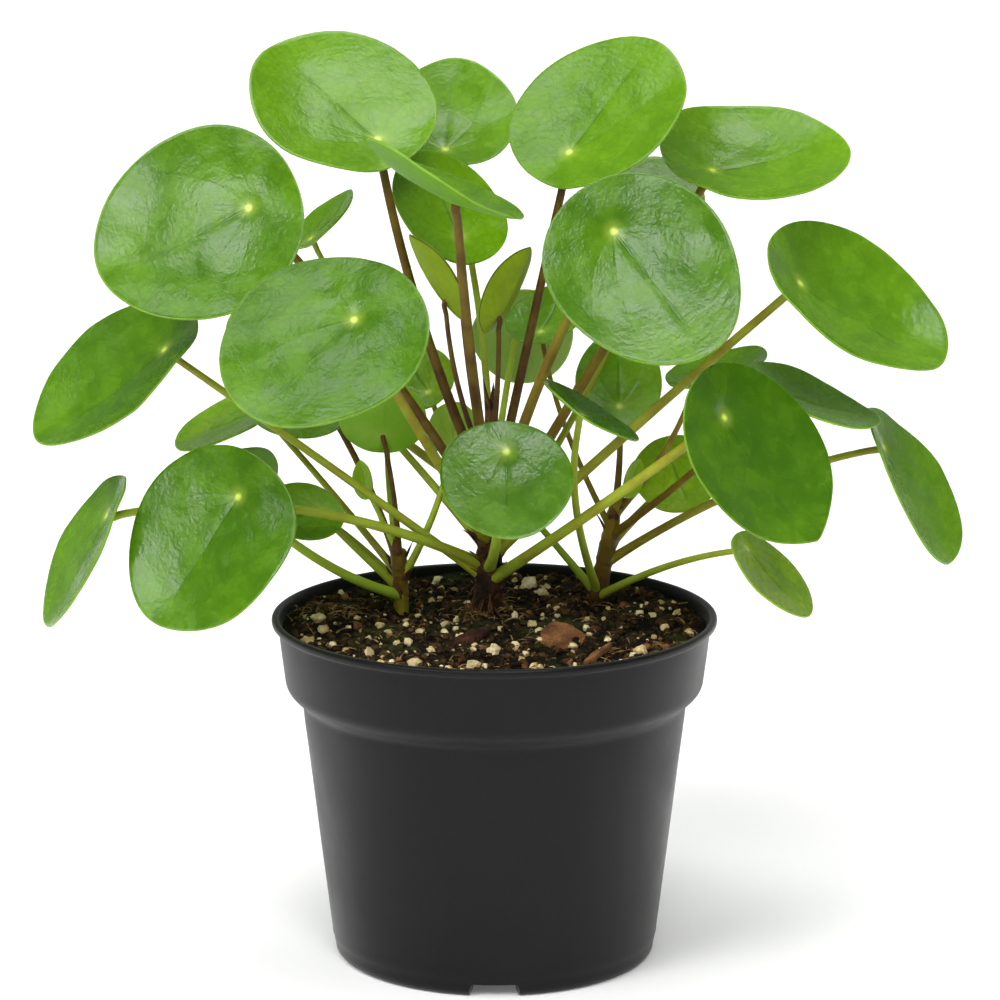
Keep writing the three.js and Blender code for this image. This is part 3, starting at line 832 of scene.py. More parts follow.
SURFACES = (
    PlasticFinish(),
    GrainyFinish(
        Finish.SOIL, (0.003, 0.0024, 0.0018), (0.018, 0.01, 0.005), 260.0, 1500.0, (0.9, 0.5),
        sheen=0.15, pitted=0.5, mossy=0.6,
    ),
    GrainyFinish(
        Finish.CRUMB, (0.004, 0.0025, 0.0015), (0.11, 0.06, 0.02), 260.0, 1500.0, (0.9, 0.5),
        sheen=0.15, pitted=0.5, mossy=0.4,
    ),
    GrainyFinish(Finish.PERLITE, (0.52, 0.36, 0.14), (0.95, 0.84, 0.53), 200.0, 1300.0, (0.8, 0.35)),
    GrainyFinish(Finish.BARK, (0.08, 0.03, 0.011), (0.3, 0.13, 0.05), 150.0, 900.0, (0.8, 0.5)),
    GrainyFinish(Finish.DARK_BARK, (0.02, 0.007, 0.004), (0.1, 0.036, 0.018), 170.0, 900.0, (0.8, 0.5)),
    StalkFinish(),
    GrainyFinish(Finish.TRUNK, (0.01, 0.005, 0.003), (0.085, 0.03, 0.013), 160.0, 800.0, (0.8, 0.6), 0.7),
    GrainyFinish(Finish.SCALE, (0.03, 0.012, 0.006), (0.2, 0.09, 0.035), 220.0, 1500.0, (0.8, 0.2), 0.6),
    GrainyFinish(Finish.FIBRE, (0.08, 0.045, 0.015), (0.4, 0.26, 0.1), 300.0, 1500.0, (0.8, 0.1)),
    BladeFinish(
        Finish.UPPER, UPPER_CENTRE, (0.033, 0.108, 0.001), (0.124, 0.282, 0.003), (0.28, 0.44, 0.015),
        (0.02, 0.085, 0.004), (0.6, 0.75, 0.12), (0.26, 0.42, 0.03), vein_share=0.45, relief=0.24,
        roughness=0.23,
    ),
    BladeFinish(
        Finish.UNDER, UNDER_CENTRE, (0.08, 0.23, 0.005), (0.17, 0.38, 0.012), (0.33, 0.5, 0.1),
        (0.2, 0.36, 0.04), (0.4, 0.5, 0.12), (0.32, 0.5, 0.09), vein_share=0.3, relief=0.25,
        roughness=0.5, sheen=0.2,
    ),
    BladeFinish(
        Finish.YOUNG_UPPER, UPPER_CENTRE, (0.12, 0.23, 0.004), (0.24, 0.4, 0.008), (0.36, 0.52, 0.02),
        (0.1, 0.2, 0.01), (0.4, 0.5, 0.08), (0.16, 0.2, 0.02), vein_share=0.3, relief=0.25,
        roughness=0.4, sheen=0.25,
    ),
    BladeFinish(
        Finish.YOUNG_UNDER, UNDER_CENTRE, (0.14, 0.22, 0.003), (0.26, 0.38, 0.006), (0.34, 0.48, 0.02),
        (0.12, 0.13, 0.008), (0.14, 0.12, 0.015), (0.05, 0.025, 0.01), vein_share=0.3, relief=0.2,
        roughness=0.45, sheen=0.16, margin_share=0.8,
    ),
    FloorFinish(),
)


def material_of(finish: Finish) -> Material:
    """The material of a finish, made when it is first asked for."""
    surface = next(each for each in SURFACES if each.finish is finish)
    return bpy.data.materials.get(finish.value) or surface.build()


# The pot


@dataclass
class NurseryPot:
    """A round moulded pot with a thin lip, a stepped-out collar, a foot ring with slots, and drain holes."""

    floor_underside: float = 5.2
    floor_top: float = 7.4
    foot_ring_inner: float = 45.5
    foot_radius: float = 52.9
    notches: int = 4
    notch_height: float = 4.4
    notch_half_top: float = 7.5
    notch_half_foot: float = 9.5
    drain_radius: float = 4.0
    drain_ring: float = 36.0
    sides: int = 240
    corner_rounds: int = 2
    ridge_inner: float = 54.5
    # The faint ridge above the foot: its height, its half width and how far it stands out
    ridge: Vector = (7.2, 0.7, 0.16)
    # Outside of the wall, radius and height, from the foot to the lip's crown
    outside: tuple[tuple[float, float], ...] = (
        (53.9, 0.3), (54.8, 1.2), (55.3, 2.6), (55.45, 4.4), (56.3, 9), (58.05, 23.7), (60.7, 45.4),
        (63.2, 66.9), (65.1, 82), (65.55, 86), (65.7, 88), (66, 89.2), (66.7, 90.2), (67.8, 91.2),
        (69.4, 92.6), (70.5, 93.8), (71.2, 95), (71.6, 96.3), (71.8, 98), (72.5, 103.4), (73.3, 110),
        (73.7, 114), (73.85, 115.3), (74.3, 116), (75.3, 116.15), (75.95, 116.6), (76.2, 117.4),
        (76.15, 118.3), (75.7, 118.85), (74.9, 119),
    )
    # Inside of the wall, from the lip's crown down to the floor
    inside: tuple[tuple[float, float], ...] = (
        (74.2, 118.9), (73.6, 118.5), (73.3, 117.6), (73, 116.4), (72.4, 113), (70.2, 98), (69.5, 96),
        (65.6, 92), (64.2, 90), (53.8, 10), (53.2, 8), (51.4, 7.4),
    )

    def profile(self) -> Array:
        """Radius and height along the wall, its corners rounded by rounds of corner cutting.

        Corner cutting replaces each point by the two that lie a quarter and three quarters of the way
        along its lines.

        Returns:
            One row of radius and height per point.
        """
        points = np.array(self.outside + self.inside, dtype=float)
        for _ in range(self.corner_rounds):
            here, there = points[:-1], points[1:]
            cut = np.stack([0.75 * here + 0.25 * there, 0.25 * here + 0.75 * there], axis=1)
            points = np.vstack([points[:1], cut.reshape(-1, 2), points[-1:]])
        level, half, stand = self.ridge
        on_outside = points[:, 0] > self.ridge_inner
        points[:, 0] += stand * bell(points[:, 1] - level, half) * on_outside
        under, inner = self.floor_underside, self.foot_ring_inner
        foot = [[2, under], [20, under], [inner, under], [inner + 0.8, 0.3], [inner + 1.2, 0], [49, 0]]
        floor = [[radius, self.floor_top] for radius in (40, 20, 2)]
        return np.vstack([foot, [self.foot_radius, 0], points, floor])

    def angles(self) -> Array:
        """Angles of the grid: even ones, and those of the slots' edges at their top and at the foot.

        Returns:
            The angles, in order, without even ones that lie within 0.006 of an edge.
        """
        even = even_angles(self.sides)
        edges = np.array([self.notch_half_top, self.notch_half_foot]) / self.foot_radius
        extra = even_angles(self.notches)[:, None] + np.concatenate([-edges, edges])
        extra = extra.ravel() % FULL_TURN
        away = np.abs(even[:, None] - extra)
        clear = np.minimum(away, FULL_TURN - away).min(axis=1) > 0.006
        return np.sort(np.concatenate([even[clear], extra]))

    def build(self) -> None:
        """Turn the profile about the axis, lift it to the slots' height within them, and cut the drain holes.

        A point is at the profile's radius and height, at the grid's angle. Within a slot nothing is
        lower than the slot's height.
        """
        profile, angle = self.profile(), self.angles()
        step = FULL_TURN / self.notches
        off_slot = np.abs((angle + step / 2) % step - step / 2)
        in_slot = off_slot < self.notch_half_top / self.foot_radius + 1e-6
        height = profile[:, 1:]
        height = np.where(in_slot & (height < self.notch_height), self.notch_height, height)
        rings = turned(profile[:, :1], height, angle)
        shell = Shell(rings, self.floor_underside * UPWARD, self.floor_top * UPWARD)
        pot = make_piece("nursery_pot", [shell], [Finish.POT], ["pot"], 32.0)
        self.drain(pot)

    def drain(self, pot: Piece) -> None:
        """Cut the drain holes through the floor with round rods.

        Args:
            pot: The pot's piece.
        """
        levels = np.array([[self.floor_underside - 2], [self.floor_top + 2]])
        paths = [self.drain_ring * heading(turn) + levels * UPWARD for turn in even_angles(self.notches)]
        rods = [sweep(path, np.full(2, self.drain_radius), 32) for path in paths]
        cutter = add_object("drain_rods", mesh_of("drain_rods", rods))
        cut = pot.modifiers.new("drain_holes", "BOOLEAN")
        cut.operation = "DIFFERENCE"
        cut.solver = "EXACT"
        cut.object = cutter
        shaped = bpy.data.meshes.new_from_object(pot.evaluated_get(bpy.context.evaluated_depsgraph_get()))
        pot.modifiers.clear()
        shaped.name = "nursery_pot"
        pot.data = shaped
        bpy.data.objects.remove(cutter)


# The soil and what lies on it


@dataclass
class PottingSoil:
    """Soil that fills the pot, with crumbs, perlite, chips, a twig, and dry fibres on it."""

    edge_z: float = 115.2
    heap: float = 1.4
    edge_radius: float = 72.3
    heap_radius: float = 73.8
    base_z: float = 7.7
    sectors: int = 300
    rings: int = 110
    crumb_count: int = 3000
    perlite_count: int = 170
    fibre_count: int = 620
    fibre_limit: float = 69.0
    crumb_seed: int = 11
    perlite_seed: int = 21
    fibre_seed: int = 31
    # The soil's side within the pot: radius and height
    side: tuple[tuple[float, float], ...] = (
        (30, 7.7), (51.7, 7.7), (53.2, 8.9), (63.6, 89), (69.6, 97.2), (71.6, 111),
    )
    # Mounds around the main trunk and by the wall: place right and back, height and radius
    mounds: tuple[tuple[float, float, float, float], ...] = ((-2.5, 5, 3.5, 9), (-60, 6, 2.8, 12))
    # Perlite that stands out in the photo: place right and back, and mean radius
    large_perlite: tuple[Vector, ...] = (
        (-60, -6, 2.6), (-63, -22, 2.0), (-54, -35, 1.8), (-58, -14, 1.7), (-42, -43, 2.2),
        (-45, -13, 1.3), (-39, -10, 1.7), (-36, -18, 1.4), (-29, -32, 1.7), (-26, -60, 2.4), (-30, 0, 1.6),
        (-42, 24, 1.5), (-47, -1, 1.3), (-54, 40, 1.8), (-36, -41, 1.3), (-34, -51, 1.3), (-38, -54, 1.6),
        (-20, 60, 2.1), (-19, 50, 1.4), (-22, 26, 1.5), (-14, 21, 1.4), (-13, -2, 1.3),
        (-13, -16, 1.5), (-25, -17, 1.5), (-21, -40, 1.8), (-7, -45, 1.1), (0, -47, 2.5), (-15, -60, 1.4),
        (-7, -59, 2.5), (-3, -58, 1.1), (12, 44, 2.8), (17, 34, 2.2), (7, -4, 1.6), (13, -9, 2.1),
        (2, -12, 1.2), (7, -40, 2.0), (9, -53, 1.3), (13, -60, 1.7), (19, -59, 1.1), (31, -13, 1.5),
        (38, -30, 1.3), (49, -40, 2.6), (46, -46, 1.6), (50, 10, 1.7), (54, 4, 1.6), (58, -9, 1.9),
        (63, 11, 1.6), (43, -10, 1.1), (42, -47, 1.0), (66, -13, 1.5), (54, -18, 1.3), (27, -53, 1.1),
    )

    def height(self, x: Array, y: Array) -> Array:
        """The soil's broad surface: a heap that falls with the square of the distance, hollows and mounds.

        Args:
            x: Place to the right.
            y: Place to the back.

        Returns:
            The height at each place.
        """
        share = np.hypot(x, y) / self.heap_radius
        hollows = 0.6 * np.sin(x / 9 + 1.2) * np.cos(y / 8 - 0.4) + 0.3 * np.sin((x - y) / 5.2)
        surface = self.edge_z + self.heap * (1 - share**2) + hollows
        for right, back, rise, radius in self.mounds:
            surface = surface + rise * bell(np.hypot(x - right, y - back), radius)
        return surface

    def crumbly(self, x: Array, y: Array) -> Array:
        """The soil's fine surface: the broad one and four layers of noise from 7 mm down to 1 mm."""
        return self.height(x, y) + 1.1 * layered_noise(x / 7 + 20, y / 7 + 20, 5, 4)

    def build(self) -> None:
        """Make the soil and the crumbs, perlite and fibres that lie on it."""
        self.bed()
        self.crumbs()
        self.perlite()
        self.fibres()

    def bed(self) -> None:
        """The soil's body: rings up the pot's wall, then rings in over the surface to its middle."""
        angle = even_angles(self.sectors)
        side = np.array(self.side)
        radius = np.linspace(self.edge_radius, 0.5, self.rings)[:, None]
        surface = self.crumbly(radius * np.cos(angle), radius * np.sin(angle))
        rings = np.vstack([turned(side[:, :1], side[:, 1:], angle), turned(radius, surface, angle)])
        shell = Shell(rings, self.base_z * UPWARD, self.crumbly(0.0, 0.0) * UPWARD)
        make_piece("soil_bed", [shell], [Finish.SOIL], ["soil"], 180.0)

    def scatter(self, count: int, seed: int, inner: float = 8.0) -> tuple[Array, Array]:
        """Seeded random places on the soil, even by area.

        Args:
            count: How many.
            seed: Seed of the draw.
            inner: Distance that is kept from the middle.

        Returns:
            The places to the right and to the back.
        """
        rng = np.random.default_rng(seed)
        radius = np.sqrt(rng.uniform(inner**2, (self.edge_radius - 2.5) ** 2, count))
        angle = rng.uniform(0, FULL_TURN, count)
        return radius * np.cos(angle), radius * np.sin(angle)

    def sunk(self, x: Array, y: Array, size: Array, share: float) -> Array:
        """Middles of grains of this size whose middle is this share of it above the soil."""
        return np.stack([x, y, self.crumbly(x, y) + share * size], axis=-1)

    def crumbs(self) -> None:
        """Crumbs of peat, half sunk in the soil, with one of bark in twenty."""
        rng = np.random.default_rng(self.crumb_seed)
        x, y = self.scatter(self.crumb_count, self.crumb_seed + 1)
        size = 0.4 + 1.5 * rng.random(self.crumb_count) ** 3
        centres = self.sunk(x, y, size, 0.25)
        split = self.crumb_count * 19 // 20
        for name, part, finish, slot in (
            ("soil_crumbs", slice(0, split), Finish.CRUMB, "potting_soil"),
            ("bark_crumbs", slice(split, None), Finish.BARK, "bark"),
        ):
            grains = lumps(centres[part], size[part], self.crumb_seed + 2, 3, 6, 0.35)
            make_piece(name, grains, [finish], [], 60.0)

    def perlite(self) -> None:
        """Perlite grains: those that stand out by place, the rest by a seeded draw of small ones."""
        rng = np.random.default_rng(self.perlite_seed)
        places = self.scatter(self.perlite_count, self.perlite_seed + 1)
        small = np.stack([*places, 0.45 + rng.random(self.perlite_count) ** 1.6], axis=-1)
        x, y, size = np.vstack([self.large_perlite, small]).T
        grains = lumps(self.sunk(x, y, size, 0.45), size, self.perlite_seed + 2, 4, 7, 0.28)
        make_piece("perlite_grains", grains, [Finish.PERLITE], [], 30.0)

    def fibres(self) -> None:
        """Dry fibres: short arcs that lie on the soil, a third of them on the two mounds."""
        rng = np.random.default_rng(self.fibre_seed)
        x, y = self.scatter(self.fibre_count, self.fibre_seed + 1, 4.0)
        third = self.fibre_count // 3
        mound = np.array(self.mounds)[rng.integers(0, len(self.mounds), third)]
        x[:third] = mound[:, 0] + rng.normal(0, 0.6, third) * mound[:, 3]
        y[:third] = mound[:, 1] + rng.normal(0, 0.6, third) * mound[:, 3]
        inside = np.minimum(1, self.fibre_limit / np.hypot(x, y))
        share = np.linspace(0, 1, 9)[:, None]
        shells = []
        for right, back in zip(x * inside, y * inside):
            ahead = heading(rng.uniform(0, FULL_TURN))
            reach = rng.uniform(1.5, 7)
            start = np.array([right, back, self.crumbly(right, back)])
            end = start + reach * (ahead + UPWARD * rng.uniform(-0.05, 0.2))
            middle = (start + end) / 2 + UPWARD * rng.uniform(0.3, 2.4)
            thin = np.linspace(rng.uniform(0.14, 0.36), 0.08, len(share))
            shells.append(sweep(bezier(start, middle, end, share), thin, 5))
        make_piece("dry_fibres", shells, [Finish.FIBRE], [])


@dataclass
class BarkChip:
    """A flat chip that lies on the soil: its outline is uneven and its faces are grained.

    rise and lean are the slopes by which its right end and its far side are raised.
    """

    node: str
    long: float
    wide: float
    thick: float
    x: float
    y: float
    turn: float
    rise: float
    lean: float
    finish: Finish = Finish.BARK

    def build(self, soil: PottingSoil) -> None:
        """Rings from the underside's middle out, over a rounded rim and back in over the top.

        A point lies along the uneven outline by its ring's reach, at half the thickness up or down,
        raised by noise. The chip is then tilted, turned and laid on the soil.

        Args:
            soil: The soil that it lies on.
        """
        outward = np.array([0.25, 0.5, 0.75, 0.93, 1.0])
        upward = np.array([1, 1, 1, 0.9, 0.5])
        reach = np.concatenate([outward, outward[::-1]])[:, None]
        level = np.concatenate([-upward, upward[::-1]])[:, None]
        angle = even_angles(40)
        uneven = 1 + 0.07 * np.sin(3 * angle + self.long) + 0.04 * np.sin(7 * angle + self.wide)
        x = reach * uneven * self.long / 2 * np.cos(angle)
        y = reach * uneven * self.wide / 2 * np.sin(angle)
        z = level * self.thick / 2 + 0.25 * layered_noise(x / 2.5, y / 2.5, 41, 3)
        z = z + self.lean * y + self.rise * x
        ahead = heading(math.radians(self.turn))
        rings = x[..., None] * ahead + y[..., None] * np.cross(UPWARD, ahead) + z[..., None] * UPWARD
        place = np.array([self.x, self.y, soil.height(self.x, self.y) + self.thick / 2 + 0.2])
        half = self.thick / 2 * UPWARD
        shell = Shell(rings + place, place - half, place + half)
        make_piece(self.node + "_dressed", [shell], [self.finish], [self.node], 35.0)


# The plant


@dataclass(frozen=True)
class Leaf:
    """One leaf, given as a person sees it who looks at the front.

    hub is where the stalk meets the blade, span the blade's length and width, lean the clock angle that
    the upper face leans to and how far it is turned from the viewer, tip the clock angle of its tip,
    root the height of the stalk's root on the trunk, stalk the stalk's radius, and bow how far the
    stalk's middle stands off the straight line. cup and fold are the rise of the margin and of the two
    halves as shares of half the width. tone is the blade's green from deep to bright, and stalk_green
    the stalk's colour at its root and at the hub, from brown at 0 to green at 1. A tone above 0.9 also
    mixes in a painted backlit green, which paints in light that comes through the blade. seat is the hub's
    distance from the blade's middle as a share of its length, taper by how much the tip's half is
    narrower, point how pointed the tip is, slant the lean of the outline to one side, skew by how much
    one side is wider, and twist the rise of one side of the tip.
    """

    name: str
    hub: Vector
    span: tuple[float, float]
    lean: tuple[float, float]
    tip: float
    root: float
    stalk: float
    bow: Vector
    cup: float
    tone: float
    stalk_green: tuple[float, float]
    fold: float = 0.0
    seat: float = 0.25
    taper: float = 0.06
    twist: float = 0.0
    point: float = 0.0
    slant: float = 0.0
    skew: float = 0.0
    young: bool = False

    def hub_x(self) -> float:
        """The hub's place along the blade from its middle."""
        return -self.seat * self.span[0]

    def axes(self) -> tuple[Array, Array, Array]:
        """Directions out of the upper face, from the hub to the tip, and across the blade.

        The first is the viewer's direction turned by the lean. The second is the tip's clock direction
        moved into the blade's plane.

        Returns:
            The three directions.
        """
        lean, turn, tip = (math.radians(value) for value in (*self.lean, self.tip))
        side = math.cos(lean) * VIEW_RIGHT + math.sin(lean) * VIEW_UP
        normal = math.cos(turn) * TO_VIEWER + math.sin(turn) * side
        along = math.cos(tip) * VIEW_RIGHT + math.sin(tip) * VIEW_UP
        along = unit(along - math.tan(turn) * math.cos(tip - lean) * TO_VIEWER)
        return normal, along, np.cross(normal, along)

    def outline(self, angle: Array) -> tuple[Array, Array]:
        """Points of the margin: an ellipse that is tapered to its tip, slanted and skewed.

        Args:
            angle: Angles from the tip, about the blade's middle.

        Returns:
            Places along the blade from its middle, and across it.
        """
        length, width = self.span
        acute = np.abs(np.sin(angle)) ** (self.point * (1 + np.cos(angle)) / 2)
        y = width / 2 * np.sin(angle) * acute * (1 - self.taper * np.cos(angle))
        return length / 2 * np.cos(angle) + self.slant * y, y + self.skew * width / 2

    def rise(self, x: Array, y: Array) -> Array:
        """Height of the blade's middle surface over its plane: a bowl, a crease along it and a twist.

        Args:
            x: Place along the blade from its middle.
            y: Place across it.

        Returns:
            The height.
        """
        length, width = self.span
        middle = -self.seat * length / 2
        bowl = ((x - middle) / (length / 2)) ** 2 + (y / (width / 2)) ** 2
        crease = np.hypot(y, 0.08 * width)
        return self.cup * width / 2 * bowl + self.fold * crease + self.twist * x * y / (width / 2)


@dataclass
class Blade:
    """A fleshy round blade, worked out on a polar grid about its hub."""

    leaf: Leaf
    number: int
    thick: float = 0.85
    small: float = 22.0
    large: float = 44.0
    # Depths of the grooves along the veins, from the midrib to the lowest side vein
    grooves: tuple[float, ...] = (0.34, 0.1, 0.06, 0.03)

    def grid(self) -> tuple[int, int]:
        """Sectors and rings of the grid, by the blade's length."""
        length = self.leaf.span[0]
        return (96, 26) if length > self.large else (72, 18) if length > self.small else (48, 12)

    def build(self) -> None:
        """Make the blade.

        A point lies from the hub out to the margin by its reach. The margin is the leaf's outline with
        a slight seeded wave. The upper face is half the thickness above the middle surface and the
        underside half below, closing in a round edge.
        """
        leaf = self.leaf
        sectors, rings = self.grid()
        hub_x = leaf.hub_x()
        angle = even_angles(sectors)
        out_x, out_y = leaf.outline(angle)
        wave = 1 + 0.006 * np.sin(5 * angle + 2.3 * self.number)
        inner = np.linspace(0, 1, rings + 1)[1:] ** 0.9
        edge = 1 - 0.4 * self.thick / leaf.span[1]
        reach = np.concatenate([inner[:-1], [edge, 0.5 * (1 + edge) + 0.002, 1.0]])
        reach = np.concatenate([reach, reach[-2::-1]])[:, None]
        body = np.concatenate([np.ones(rings - 1), [0.92, 0.62, 0.0]])
        half = self.thick / 2 * np.concatenate([-body, body[-2::-1]])[:, None]
        x = reach * wave * (out_x - hub_x)
        y = reach * wave * out_y
        height = self.relief(x, y, reach) + half
        normal, along, across = leaf.axes()
        surface = x[..., None] * along + y[..., None] * across + height[..., None] * normal
        middle = np.array(leaf.hub) + self.relief(0.0, 0.0, 0.0).item() * normal
        ends = [middle + side * self.thick / 2 * normal for side in (-1, 1)]
        below = np.arange(len(reach) - 1) <= rings
        under = np.concatenate([np.repeat(below, sectors), np.ones(sectors), np.zeros(sectors)])
        young = [Finish.YOUNG_UPPER, Finish.YOUNG_UNDER]
        finishes = young if leaf.young else [Finish.UPPER, Finish.UNDER]
        shell = Shell(np.array(leaf.hub) + surface, *ends)
        name = "blade_" + leaf.name
        piece = make_piece(name, [shell], finishes, ["leaf_" + leaf.name], 80.0, under)
        give_attribute(piece, "reach", np.append(np.repeat(reach, sectors), [0, 0]))
        give_attribute(piece, "tone", np.full(x.size + 2, leaf.tone))
        self.chart(piece, np.append(x, [0, 0]), np.append(y, [0, 0]), under.astype(bool))

    def relief(self, x: Array, y: Array, reach: Array) -> Array:
        """Height of the blade's middle surface, zero at the hub before the dimple.

        It is the leaf's rise, less a dimple at the hub and grooves along the veins, which are narrow
        bells of the distance to veins that bend towards the tip. The flesh between them is swollen by
        seeded noise that fades out at the hub, and the margin is waved.

        Args:
            x: Place along the blade from the hub.
            y: Place across it.
            reach: Share of the way from the hub to the margin.

        Returns:
            The height.
        """
        leaf = self.leaf
        hub_x = leaf.hub_x()
        size = leaf.span[1] / 60
        radius = np.hypot(x, y)
        angle = np.arctan2(y, x)
        starts = np.array(VeinEffect.angles)[:, None, None]
        gaps = np.abs(np.abs(angle) - starts * (1 - VeinEffect.bend * reach)) * radius
        depths = np.array(self.grooves)[:, None, None]
        groove = (depths * bell(gaps, 1.3 * size + 0.2)).max(axis=0)
        groove = groove * smoothstep(0.0, 0.12, reach) * (1 - smoothstep(0.6, 0.95, reach))
        from_middle = x + hub_x
        broad = layered_noise(from_middle / 24 + 5, y / 24 + 9, 300 + self.number, 1)
        small = layered_noise(from_middle / 8 + 3, y / 8 + 11, 100 + self.number, 2)
        swell = size * (1.35 * broad + 0.16 * small) * smoothstep(0.05, 0.5, reach)
        ruffle = np.sin(2 * angle + 1.7 * self.number) + 0.6 * np.sin(5 * angle + 0.9 * self.number)
        dimple = 0.5 * size * bell(radius, 3.2 * size + 0.6)
        base = leaf.rise(from_middle, y) - leaf.rise(hub_x, 0.0)
        return base - 0.7 * groove + swell - dimple + 0.5 * size * ruffle * reach**4

    def chart(self, piece: Piece, x: Array, y: Array, under: Array) -> None:
        """Lay the blade's own map: its plane about the hub, the underside beside the upper face.

        Args:
            piece: The blade's piece.
            x: Place of each point along the blade from the hub.
            y: Place of each point across it.
            under: Whether each face is on the underside.
        """
        mesh = piece.data
        corner = np.empty(len(mesh.loops), dtype=np.int32)
        mesh.loops.foreach_get("vertex_index", corner)
        totals = np.empty(len(mesh.polygons), dtype=np.int32)
        mesh.polygons.foreach_get("loop_total", totals)
        middle = np.where(np.repeat(under, totals), UNDER_CENTRE[0], UPPER_CENTRE[0])
        u = middle + BLADE_UV * MM * x[corner]
        v = UPPER_CENTRE[1] + BLADE_UV * MM * y[corner]
        layer = mesh.uv_layers.new(name="Blade")
        layer.uv.foreach_set("vector", np.stack([u, v], axis=-1).astype(np.float32).ravel())
